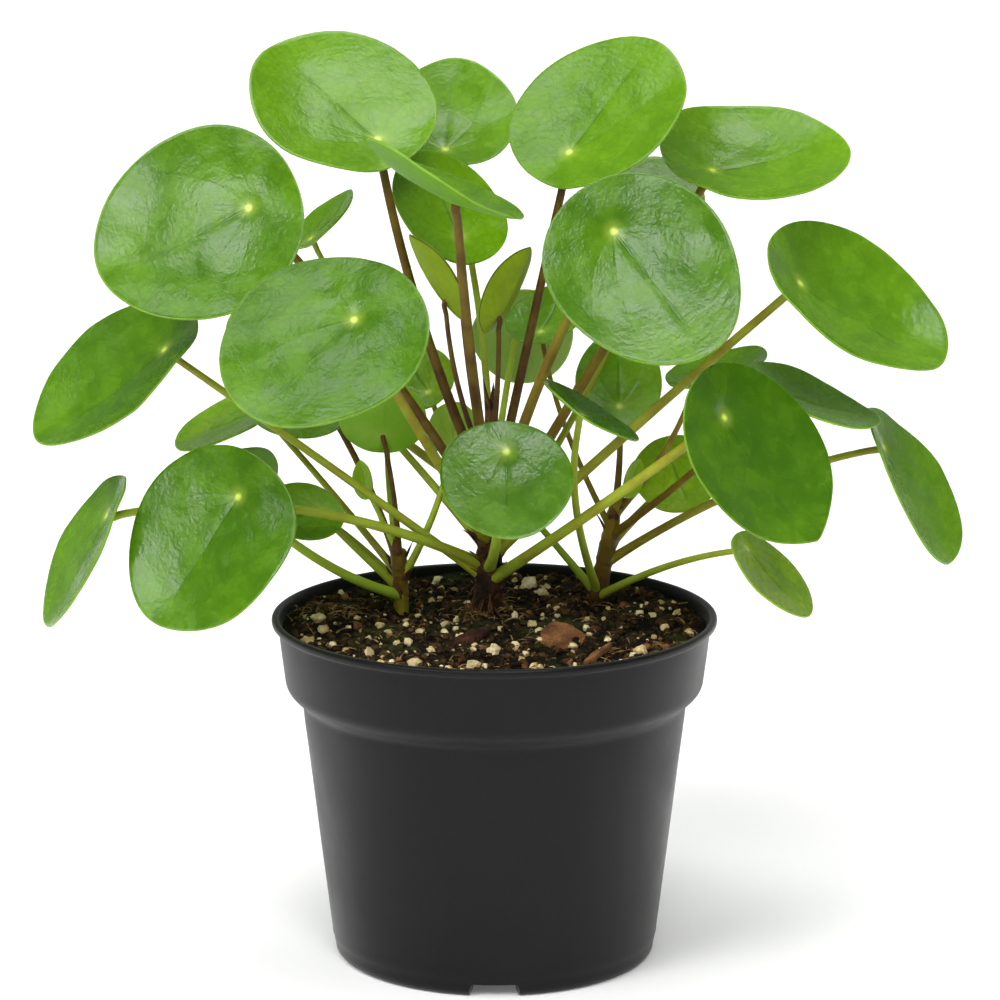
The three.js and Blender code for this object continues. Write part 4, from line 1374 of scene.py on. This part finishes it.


# The small leaves at the back have tones above 0.9, so painted backlit green stands in for light through
# them; left_02's high tone also paints in its pale sheen
LEAVES = (
    Leaf("main_01", (-39, 4, 282), (64, 65), (76, 42), 140, 158, 1.8, (-4, -3, 0), 0.12, 0.7, (0.06, 0.14),
         seat=0.28, taper=0.03),
    Leaf("main_02", (-17, 48, 272), (51, 47), (88, 44), 85, 160, 1.3, (4, 12, 0), 0.18, 0.6, (0.75, 0.8),
         seat=0.27, slant=-0.03, skew=-0.03),
    Leaf("main_03", (-12, -46, 268), (57, 47), (67, 84), 157, 158, 1.9, (-1, -4, 0), 0.28, 0.5,
         (0.1, 0.16), seat=0.12, taper=-0.06, twist=0.12),
    Leaf("main_04", (-12, 15, 247), (45, 42), (50, 42), 115, 162, 1.4, (-2, 3, 0), 0.08, 0.9, (0.12, 0.2),
         slant=0.05),
    Leaf("main_05", (-16, -9, 229), (34, 22), (35, 109), 125, 166, 1, (-3, -3, 0), 0.2, 0.5, (0.04, 0.08),
         fold=0.2, point=0.5, slant=-0.08, young=True),
    Leaf("main_06", (1, -6, 223), (33, 22), (150, 118), 59, 174, 1, (1, -2, 0), 0.2, 0.5, (0.04, 0.08),
         fold=0.2, seat=0.3, point=0.5, slant=0.08, skew=0.04, young=True),
    Leaf("main_07", (25, 0, 278), (64, 62), (120, 43), 50, 152, 1.7, (0, 0, 0), 0.08, 0.6, (0.02, 0.12),
         fold=0.03, seat=0.27, skew=-0.03),
    Leaf("main_08", (74, 20, 269), (62, 63), (82, 55), 6, 144, 1.8, (0, 3, 0), 0.24, 0.7, (0.3, 0.38),
         seat=0.22, taper=0.05, slant=-0.09, skew=-0.06),
    Leaf("main_09", (39, -42, 258), (69, 61), (60, 14), 306, 144, 1.9, (-4, 4, 0), 0.08, 0.35,
         (0.34, 0.42), taper=0.12, slant=0.04),
    Leaf("main_10", (55, 38, 250), (36, 34), (80, 40), 85, 142, 1.3, (6, 0, -2), 0.08, 0.7, (0.7, 0.8)),
    Leaf("main_11", (102, -14, 236), (71, 64), (47, 57), 323, 137, 1.8, (0, 0, 1), 0.26, 0.55,
         (0.62, 0.55), seat=0.26, skew=0.07),
    Leaf("main_12", (4, -44, 185), (42, 44), (90, 22), 270, 134, 1.8, (0, -12, -5), 0.04, 0.42,
         (0.85, 0.85), taper=0.08, slant=0.04),
    Leaf("main_13", (-81, -24, 263), (72, 67), (133, 22), 209, 148, 1.7, (4, 0, 2), 0.14, 0.42,
         (0.12, 0.2), seat=0.24, taper=0.12, skew=-0.03),
    Leaf("main_14", (-45, -70, 234), (69, 68), (113, 36), 226, 142, 1.8, (-1, -6, 2), 0.05, 0.35,
         (0.55, 0.52), seat=0.19, taper=0.11, slant=-0.02, skew=-0.04),
    Leaf("main_15", (-111, -6, 212), (68, 58), (133, 57), 220, 129, 1.5, (-2, 0, 2), 0.14, 0.35,
         (0.75, 0.66), fold=0.1, seat=0.27, taper=0.14, slant=-0.02, skew=-0.04),
    Leaf("main_16", (-131, -12, 156), (57, 51), (155, 69), 246, 134, 1.7, (0, -8, 13), 0.1, 0.55,
         (0.75, 0.8), fold=0.1, seat=0.24, taper=0, slant=0.04, skew=0.09),
    Leaf("main_17", (-63, 34, 243), (28, 27), (131, 69), 45, 154, 1.2, (-4, 6, 0), 0.1, 0.8, (0.75, 0.8),
         fold=0.1, seat=0.3, point=0.5),
    Leaf("main_18", (-23, 46, 187), (27, 25), (120, 35), 125, 150, 1.2, (-1, 4, -2), 0.08, 1.2, (0.6, 0.6)),
    Leaf("main_19", (8, 70, 208), (38, 36), (100, 150), 290, 158, 1.3, (-1, 4, -6), 0.06, 1.5, (0.8, 0.85),
         seat=0.2),
    Leaf("main_20", (75, -56, 199), (67, 61), (29, 45), 302, 129, 1.9, (0, -8, 1), 0.11, 0.25, (0.78, 0.6),
         point=0.5, skew=0.04),
    Leaf("main_21", (-50, 42, 188), (32, 30), (100, 35), 130, 139, 1.5, (0, 4, 0), 0.08, 0.5, (0.8, 0.8)),
    Leaf("main_22", (44, 78, 214), (50, 46), (70, 112), 60, 146, 1.6, (2, 2, -2), 0.1, 0.45, (0.5, 0.5)),
    Leaf("main_23", (-70, 88, 199), (50, 47), (110, 115), 120, 157, 1.6, (-8, 8, 0), 0.1, 0.45, (0.6, 0.6)),
    # left_01's stalk is green at its root; its brightest green also paints in light where its blade shades it
    Leaf("left_01", (-85, -36, 168), (65, 61), (151, 32), 238, 122, 1.7, (0, 0, -5), 0.06, 0.35,
         (1.0, 0.9), seat=0.27, taper=0.12),
    Leaf("left_02", (-82, 46, 181), (44, 39), (118, 68), 206, 129, 1.3, (0, 3, 0), 0.12, 1.05, (0.6, 0.66),
         seat=0.23, slant=0.08),
    Leaf("left_03", (-60, 30, 189), (36, 36), (80, 40), 200, 131, 1.3, (2, 4, 0), 0.08, 0.8, (0.2, 0.2)),
    Leaf("left_04", (-38, 10, 179), (28, 30), (90, 150), 90, 135, 1, (1, 0, 0), 0.08, 1.0, (0.1, 0.1)),
    Leaf("left_05", (-59, 5, 153), (29, 28), (80, 46), 190, 124, 1.3, (0, -2, 0), 0.1, 1.0, (0.8, 0.8),
         fold=0.12),
    Leaf("left_06", (-44, 12, 160), (14, 9), (180, 40), 100, 137, 0.9, (0, 0, 0), 0.1, 0.8, (0.9, 0.9),
         fold=0.2, seat=0.23, point=0.4, young=True),
    Leaf("left_07", (-14, 22, 174), (20, 18), (90, 20), 90, 127, 1.3, (2, -6, 0), 0.08, 1.1, (0.85, 0.9),
         young=True),
    Leaf("left_08", (-38, 72, 192), (34, 32), (100, 130), 110, 134, 1.2, (-2, 6, -4), 0.08, 0.5,
         (0.8, 0.8)),
    Leaf("left_09", (-86, 58, 152), (46, 43), (120, 120), 200, 125, 1.5, (0, 4, 4), 0.1, 0.5, (0.7, 0.7)),
    Leaf("right_01", (16, 32, 211), (32, 30), (110, 55), 60, 143, 1, (-4, 0, 2), 0.15, 0.8, (0.4, 0.4)),
    Leaf("right_02", (43, 26, 186), (40, 30), (95, 34), 90, 148, 1.2, (1, 0, 0), 0.1, 1.0, (0.2, 0.25)),
    Leaf("right_03", (29, -32, 195), (37, 34), (57, 80), 327, 120, 1.4, (-5, -6, 3), 0.16, 0.15,
         (0.8, 0.8), seat=0.05),
    Leaf("right_04", (68, 16, 196), (36, 34), (100, 72), 12, 148, 1.1, (4, 0, 0), 0.25, 0.9, (0.35, 0.35),
         skew=0.03),
    Leaf("right_05", (95, -10, 199), (47, 39), (66, 68), 338, 140, 1.3, (2, -4, 0), 0.16, 0.9,
         (0.22, 0.28), seat=0.26, taper=0.18, slant=-0.13, skew=-0.06),
    Leaf("right_06", (133, 10, 175), (60, 53), (25, 68), 295, 130, 1.5, (0, 0, 6), 0.1, 0.65, (0.45, 0.6),
         fold=0.12, seat=0.26, taper=0, slant=0.06, skew=0.03),
    Leaf("right_07", (61, 41, 165), (32, 30), (100, 28), 290, 146, 1, (-1, 10, -3), 0.08, 1.4, (0.45, 0.5)),
    Leaf("right_08", (85, -18, 146), (37, 35), (42, 63), 310, 118, 1.3, (0, -4, 4), 0.06, 1.35, (0.8, 0.8),
         seat=0.33, taper=0, slant=0.03, skew=0.04),
    Leaf("right_09", (46, 14, 160), (15, 9), (0, 45), 70, 152, 0.8, (0, 0, 0), 0.1, 0.8, (0.5, 0.5),
         fold=0.2, point=0.4, young=True),
    Leaf("right_10", (7, 34, 152), (26, 24), (110, 40), 180, 119, 1.3, (-3, 0, 4), 0.1, 0.4, (0.85, 0.85)),
    Leaf("right_11", (84, 64, 165), (50, 46), (60, 115), 20, 136, 1.5, (2, 6, 4), 0.1, 0.4, (0.5, 0.5)),
)


@dataclass
class Crown:
    """A short woody trunk with its stalks, and the brown scales at their roots.

    scar_start is where the leaf scars begin and scar_step their distance along the trunk, bark_green
    the bark's colour at the foot and the top, neck the length over which a stalk bends to its blade,
    and stubs the number of scales that are left of older stalks.
    """

    name: str
    foot: Vector
    top: Vector
    radius: tuple[float, float]
    slot: str
    scar_start: float = 20.0
    scar_step: float = 4.4
    growing_tip: bool = False
    bark: Finish = Finish.TRUNK
    bark_green: tuple[float, float] = (0.0, 0.0)
    neck: float = 3.0
    stubs: int = 0
    stalk_steps: int = 48
    stalk_sides: int = 14
    seed: int = 60
    # A scale's radius along it, as a share of its widest
    scale_form: tuple[float, ...] = (0.75, 1.0, 1.0, 0.9, 0.75, 0.56, 0.38, 0.2, 0.05)
    # The growing tip's scales: length, and slopes to the right and to the back
    tip_scales: tuple[Vector, ...] = (
        (19, -0.1, 0.03), (15, 0.13, -0.05), (17, 0.03, 0.12), (13, -0.08, -0.12),
    )

    def leaves(self) -> list[Leaf]:
        """The leaves that grow on this trunk."""
        return [leaf for leaf in LEAVES if leaf.name.startswith(self.name)]

    def at(self, height: float) -> Array:
        """Point on the trunk's middle line at a height."""
        foot, top = np.array(self.foot), np.array(self.top)
        return foot + (top - foot) * (height - foot[2]) / (top[2] - foot[2])

    def trunk(self) -> Shell:
        """The trunk: rings along its middle line, swollen below each leaf scar and uneven by noise.

        The radius falls evenly from foot to top, times one plus a saw-toothed swelling per scar and a
        noise that runs round and along the trunk. The upper end narrows to a round tip.

        Returns:
            The closed surface.
        """
        foot, top = np.array(self.foot), np.array(self.top)
        length = np.linalg.norm(top - foot)
        axis = (top - foot) / length
        first = unit(np.cross(axis, np.array([0.0, 1.0, 0.0])))
        second = np.cross(axis, first)
        share = np.linspace(0, 1, 110)[:, None]
        angle = even_angles(28)
        along = share * length
        radius = self.radius[0] + (self.radius[1] - self.radius[0]) * share
        saw = ((along + 1.2 * np.sin(angle + 0.8 * along)) / self.scar_step) % 1.0
        above = smoothstep(self.scar_start - 4, self.scar_start, along)
        swell = above * 0.12 * (saw**2 - 0.4)
        rough = above * 0.08 * layered_noise(angle * 28 / 9, along / 2.2, 51, 3)
        closing = np.sqrt(np.clip(1 - (np.clip(share - 0.965, 0, 1) / 0.036) ** 2, 0.02, 1))
        reach = radius * (1 + swell + rough) * closing
        ring = first * np.cos(angle)[:, None] + second * np.sin(angle)[:, None]
        return Shell(foot + along[..., None] * axis + reach[..., None] * ring, foot, top + 0.2 * axis)

    def stalk_line(self, leaf: Leaf, steps: int) -> Array:
        """Middle line of a stalk: a curve from the trunk's middle to the blade's underside.

        Its last few millimetres bend until the stalk meets the blade squarely.

        Args:
            leaf: The leaf that it carries.
            steps: Number of points.

        Returns:
            The points.
        """
        hub, normal, root = np.array(leaf.hub), leaf.axes()[0], self.at(leaf.root)
        middle = (root + hub) / 2 + 2 * np.array(leaf.bow)
        end = hub - (0.3 + 0.55 * leaf.span[1] / 60) * normal
        share = 0.5 - 0.5 * np.cos(np.linspace(0, math.pi, steps))[:, None]
        line = bezier(root, middle, end, share)
        left = np.linalg.norm(line - end, axis=1)[:, None]
        near = np.clip(1 - left / (self.neck + 1.3 * leaf.stalk), 0, 1) ** 2
        return (1 - near) * line + near * (end - normal * left)

    def stalks(self) -> tuple[list[Shell], list[Array]]:
        """All stalks, and the green of each of their points.

        A stalk's radius falls by a quarter from root to hub. It is a third wider where it clasps the
        trunk and a little wider under the blade. Its green runs from the root's value to the hub's.

        Returns:
            One closed surface and one array of greens per stalk.
        """
        shells, greens = [], []
        share = 0.5 - 0.5 * np.cos(np.linspace(0, math.pi, self.stalk_steps))
        for leaf in self.leaves():
            line = self.stalk_line(leaf, self.stalk_steps)
            length = np.linalg.norm(np.diff(line, axis=0), axis=1).sum()
            radius = leaf.stalk * (1.04 - 0.26 * share + 0.35 * np.exp(-share * length / 6))
            radius += 0.15 * leaf.stalk * np.exp(-(1 - share) * length / 2.5)
            shells.append(sweep(line, radius, self.stalk_sides, cap=0.05))
            low, high = leaf.stalk_green
            green = low + (high - low) * smoothstep(0.05, 0.95, share)
            greens.append(np.append(np.repeat(green, self.stalk_sides), [low, high]))
        return shells, greens

    def scale(self, base: Array, rise: Array, bend: Array, size: float, sides: int, flat: float) -> Shell:
        """A scale: a flat section carried up a line, widest near its root and pointed at its end.

        Its line is the base plus the share of the way times the rise and its square times the bend.

        Args:
            base: Where it begins.
            rise: From there to its end, without the bend.
            bend: How far its end bends out.
            size: Its widest radius.
            sides: Number of points round its section.
            flat: Its thickness as a share of its width.

        Returns:
            The closed surface.
        """
        share = np.linspace(0, 1, len(self.scale_form))[:, None]
        return sweep(base + share * rise + share**2 * bend, size * np.array(self.scale_form), sides, flat)

    def scales(self) -> list[Shell]:
        """Papery scales at each stalk's root, shorter ones of older stalks, and those of the growing tip.

        Returns:
            One closed surface per scale.
        """
        rng = np.random.default_rng(self.seed + len(self.name))
        shells = []
        for leaf in self.leaves():
            line = self.stalk_line(leaf, 60)
            out = unit((unit(line[8] - line[0]) + rng.uniform(-0.4, 0.4, 3)) * LEVEL)
            base = line[0] + out * self.radius[1] * 0.8 + UPWARD * rng.uniform(-1.5, 1.0)
            rise = rng.uniform(4.5, 8.0) * unit(UPWARD + 0.35 * out)
            shells.append(self.scale(base, rise, out * rng.uniform(0.5, 2.6), 1.9, 10, 0.22))
        low, high = self.foot[2] + 26, self.foot[2] + 0.7 * (self.top[2] - self.foot[2])
        for height in rng.uniform(low, high, self.stubs):
            out = heading(rng.uniform(0, FULL_TURN))
            base = self.at(height) + out * self.radius[0] * 0.75
            bend = out * rng.uniform(1.0, 4.0)
            rise = rng.uniform(2.5, 6.0) * unit(UPWARD + 0.5 * out)
            shells.append(self.scale(base, rise, bend, 1.5, 8, 0.3))
        for reach, right, back in self.tip_scales if self.growing_tip else ():
            aside = np.array([right, back, 0.0])
            rise = reach * unit(UPWARD + aside)
            shells.append(self.scale(self.at(self.top[2] - 3), rise, 8 * aside, 2.3, 12, 0.55))
        return shells

    def build(self) -> None:
        """Make the trunk, the stalks and the scales, as one piece with a finish for each."""
        trunk, scales = self.trunk(), self.scales()
        stalks, greens = self.stalks()
        shells = [trunk, *stalks, *scales]
        parts = np.repeat([0, 1, 2], [1, len(stalks), len(scales)])
        kinds = np.repeat(parts, [len(shell.faces()) for shell in shells])
        finishes = [self.bark, Finish.STALK, Finish.SCALE]
        name, nodes = "crown_" + self.name, ["stems_" + self.name]
        piece = make_piece(name, shells, finishes, nodes, 60.0, kinds)
        share = (trunk.points()[:, 2] - self.foot[2]) / (self.top[2] - self.foot[2])
        low, high = self.bark_green
        bark = low + (high - low) * smoothstep(0.3, 1.0, share)
        papery = np.zeros(sum(len(scale.points()) for scale in scales))
        give_attribute(piece, "green", np.concatenate([bark, *greens, papery]))


@dataclass
class CrownRoots:
    """Thin roots that run from the main trunk's foot over the soil, on the side towards the viewer."""

    centre: Vector = (-2.0, 6.0, 0.0)
    count: int = 16
    seed: int = 71
    front_deg: tuple[float, float] = (190.0, 350.0)

    def build(self, soil: PottingSoil) -> None:
        """Each root is a bent line from the trunk down and out to the soil.

        Args:
            soil: The soil that they run over.
        """
        rng = np.random.default_rng(self.seed)
        share = np.linspace(0, 1, 14)[:, None]
        foot = np.array(self.centre)
        shells = []
        for turn in np.radians(rng.uniform(*self.front_deg, self.count)):
            out = heading(turn)
            start = foot + out * 5 + UPWARD * rng.uniform(120, 128)
            place = foot + out * rng.uniform(7, 14)
            end = place + UPWARD * soil.crumbly(place[0], place[1])
            middle = (start + end) / 2 + out * rng.uniform(0.5, 3)
            middle = middle + np.array([rng.uniform(-1.5, 1.5), 0, -rng.uniform(0, 2)])
            thin = np.linspace(rng.uniform(0.16, 0.34), 0.1, len(share))
            shells.append(sweep(bezier(start, middle, end, share), thin, 6))
        make_piece("crown_roots", shells, [Finish.SCALE], [])


# The studio


@dataclass
class Studio:
    """A pale floor, soft light from the upper left, and a camera at the photo's angle."""

    floor_side: float = 12.0
    floor_z: float = -0.0002
    fill: float = 0.2
    back: float = 0.4
    # Soft panels in the sky: direction, cosines of their edge and of their full strength, and strength
    panels: tuple[tuple[Vector, float, float, float], ...] = (
        ((-0.53, -0.55, 0.64), 0.96, 0.992, 8.4),
        ((-0.37, -0.03, 0.93), 0.976, 0.997, 4.8),
        ((0.13, -0.72, 0.66), 0.962, 0.994, 9.5),
        ((0.12, 0.06, 1.0), 0.935, 0.985, 5.2),
    )
    sun: float = 1.22
    sun_turn: Vector = (38.0, -40.0, 0.0)
    sun_size_deg: float = 60.0
    camera_place: Vector = (0.0019, -1.4633, 0.4886)
    lens: float = 158.8
    film: float = 36.0
    far: float = 60.0

    def build(self) -> None:
        """Make the floor, the sky, the sun and the camera."""
        bpy.context.scene.view_settings.view_transform = "Standard"
        self.build_floor()
        self.build_sky()
        self.build_sun()
        self.build_camera()

    def build_floor(self) -> None:
        """A square of floor, just below the pot's foot."""
        mesh = bpy.data.meshes.new("studio_floor")
        signs = ((-1, -1), (1, -1), (1, 1), (-1, 1))
        corners = [(x * self.floor_side, y * self.floor_side, self.floor_z) for x, y in signs]
        mesh.from_pydata(corners, [], [[0, 1, 2, 3]])
        mesh.materials.append(material_of(Finish.FLOOR))
        floor = add_object("studio_floor", mesh)

    def build_sky(self) -> None:
        """A dim white sky, brighter low at the back, with the soft panels in it."""
        sky = bpy.data.worlds.new("studio_sky")
        sky.use_nodes = True
        wires = Wires(sky.node_tree)
        direction = wires.read(wires.add("ShaderNodeTexCoord"), "Generated")
        split = wires.add("ShaderNodeSeparateXYZ", Vector=direction)
        low = wires.band(wires.read(split, 2), 0.2, 0.6, 1.0, 0.12)
        behind = wires.band(wires.read(split, 1), 0.2, 0.8) * low
        strength = behind * (self.back - self.fill) + self.fill
        for middle, edge, core, bright in self.panels:
            facing = wires.vector("DOT_PRODUCT", direction, unit(np.array(middle)).tolist(), 1)
            strength = strength + wires.band(facing, edge, core, 0.0, bright)
        wires.fill(sky.node_tree.nodes["Background"], Color=WHITE, Strength=strength)
        bpy.context.scene.world = sky

    def build_sun(self) -> None:
        """A wide, soft sun from the upper left, which casts the shadows and isn't mirrored."""
        light = bpy.data.lights.new("soft_sun", "SUN")
        light.energy = self.sun
        light.angle = math.radians(self.sun_size_deg)
        sun = add_object("soft_sun", light)
        sun.rotation_euler = np.radians(self.sun_turn)
        sun.visible_glossy = False

    def build_camera(self) -> None:
        """A camera with a long lens that looks slightly down."""
        camera = bpy.data.cameras.new("camera")
        camera.lens = self.lens
        camera.sensor_width = self.film
        camera.clip_end = self.far
        eye = add_object("camera", camera)
        eye.location = self.camera_place
        eye.rotation_euler = (math.pi / 2 - VIEW_DOWN, 0.0, 0.0)
        bpy.context.scene.camera = eye


@dataclass
class PottedPlant:
    """The whole plant: the pot, the soil with what lies on it, the crowns and the blades."""

    pot: NurseryPot = field(default_factory=NurseryPot)
    soil: PottingSoil = field(default_factory=PottingSoil)
    roots: CrownRoots = field(default_factory=CrownRoots)
    chips: tuple[BarkChip, ...] = (
        BarkChip("bark_chip_round", 15, 14, 2.2, 22.5, -28, 8, 0.0, 0.42),
        BarkChip("bark_chip_long", 18, 4.8, 2.2, -9, -28, 25, 0.23, 0.2, Finish.DARK_BARK),
        BarkChip("bark_twig", 14, 2.4, 2.0, 34, -46, 50, 0.3, 0.0),
    )
    crowns: tuple[Crown, ...] = (
        Crown("main", (-2.5, 6, 92), (-1, 5, 184), (5.8, 3.3), "stem_brown", growing_tip=True, stubs=60),
        Crown(
            "left", (-31, 16, 94), (-33, 13, 139), (2.2, 2.9), "stem_olive",
            bark=Finish.STALK, bark_green=(0.5, 0.2),
        ),
        Crown(
            "right", (31, 29, 94), (43, 24, 157), (4, 2.3), "stem_olive",
            bark=Finish.STALK, bark_green=(0.02, 0.45),
        ),
    )

    def build(self) -> None:
        """Make every piece, from the pot up."""
        self.pot.build()
        self.soil.build()
        for chip in self.chips:
            chip.build(self.soil)
        for crown in self.crowns:
            crown.build()
        self.roots.build(self.soil)
        for number, leaf in enumerate(LEAVES):
            Blade(leaf, number).build()


def main() -> None:
    """Build the studio and the plant."""
    logging.basicConfig(level=logging.INFO, format="%(name)s: %(message)s")
    Studio().build()
    PottedPlant().build()
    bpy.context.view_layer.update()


if __name__ == "__main__":
    main()
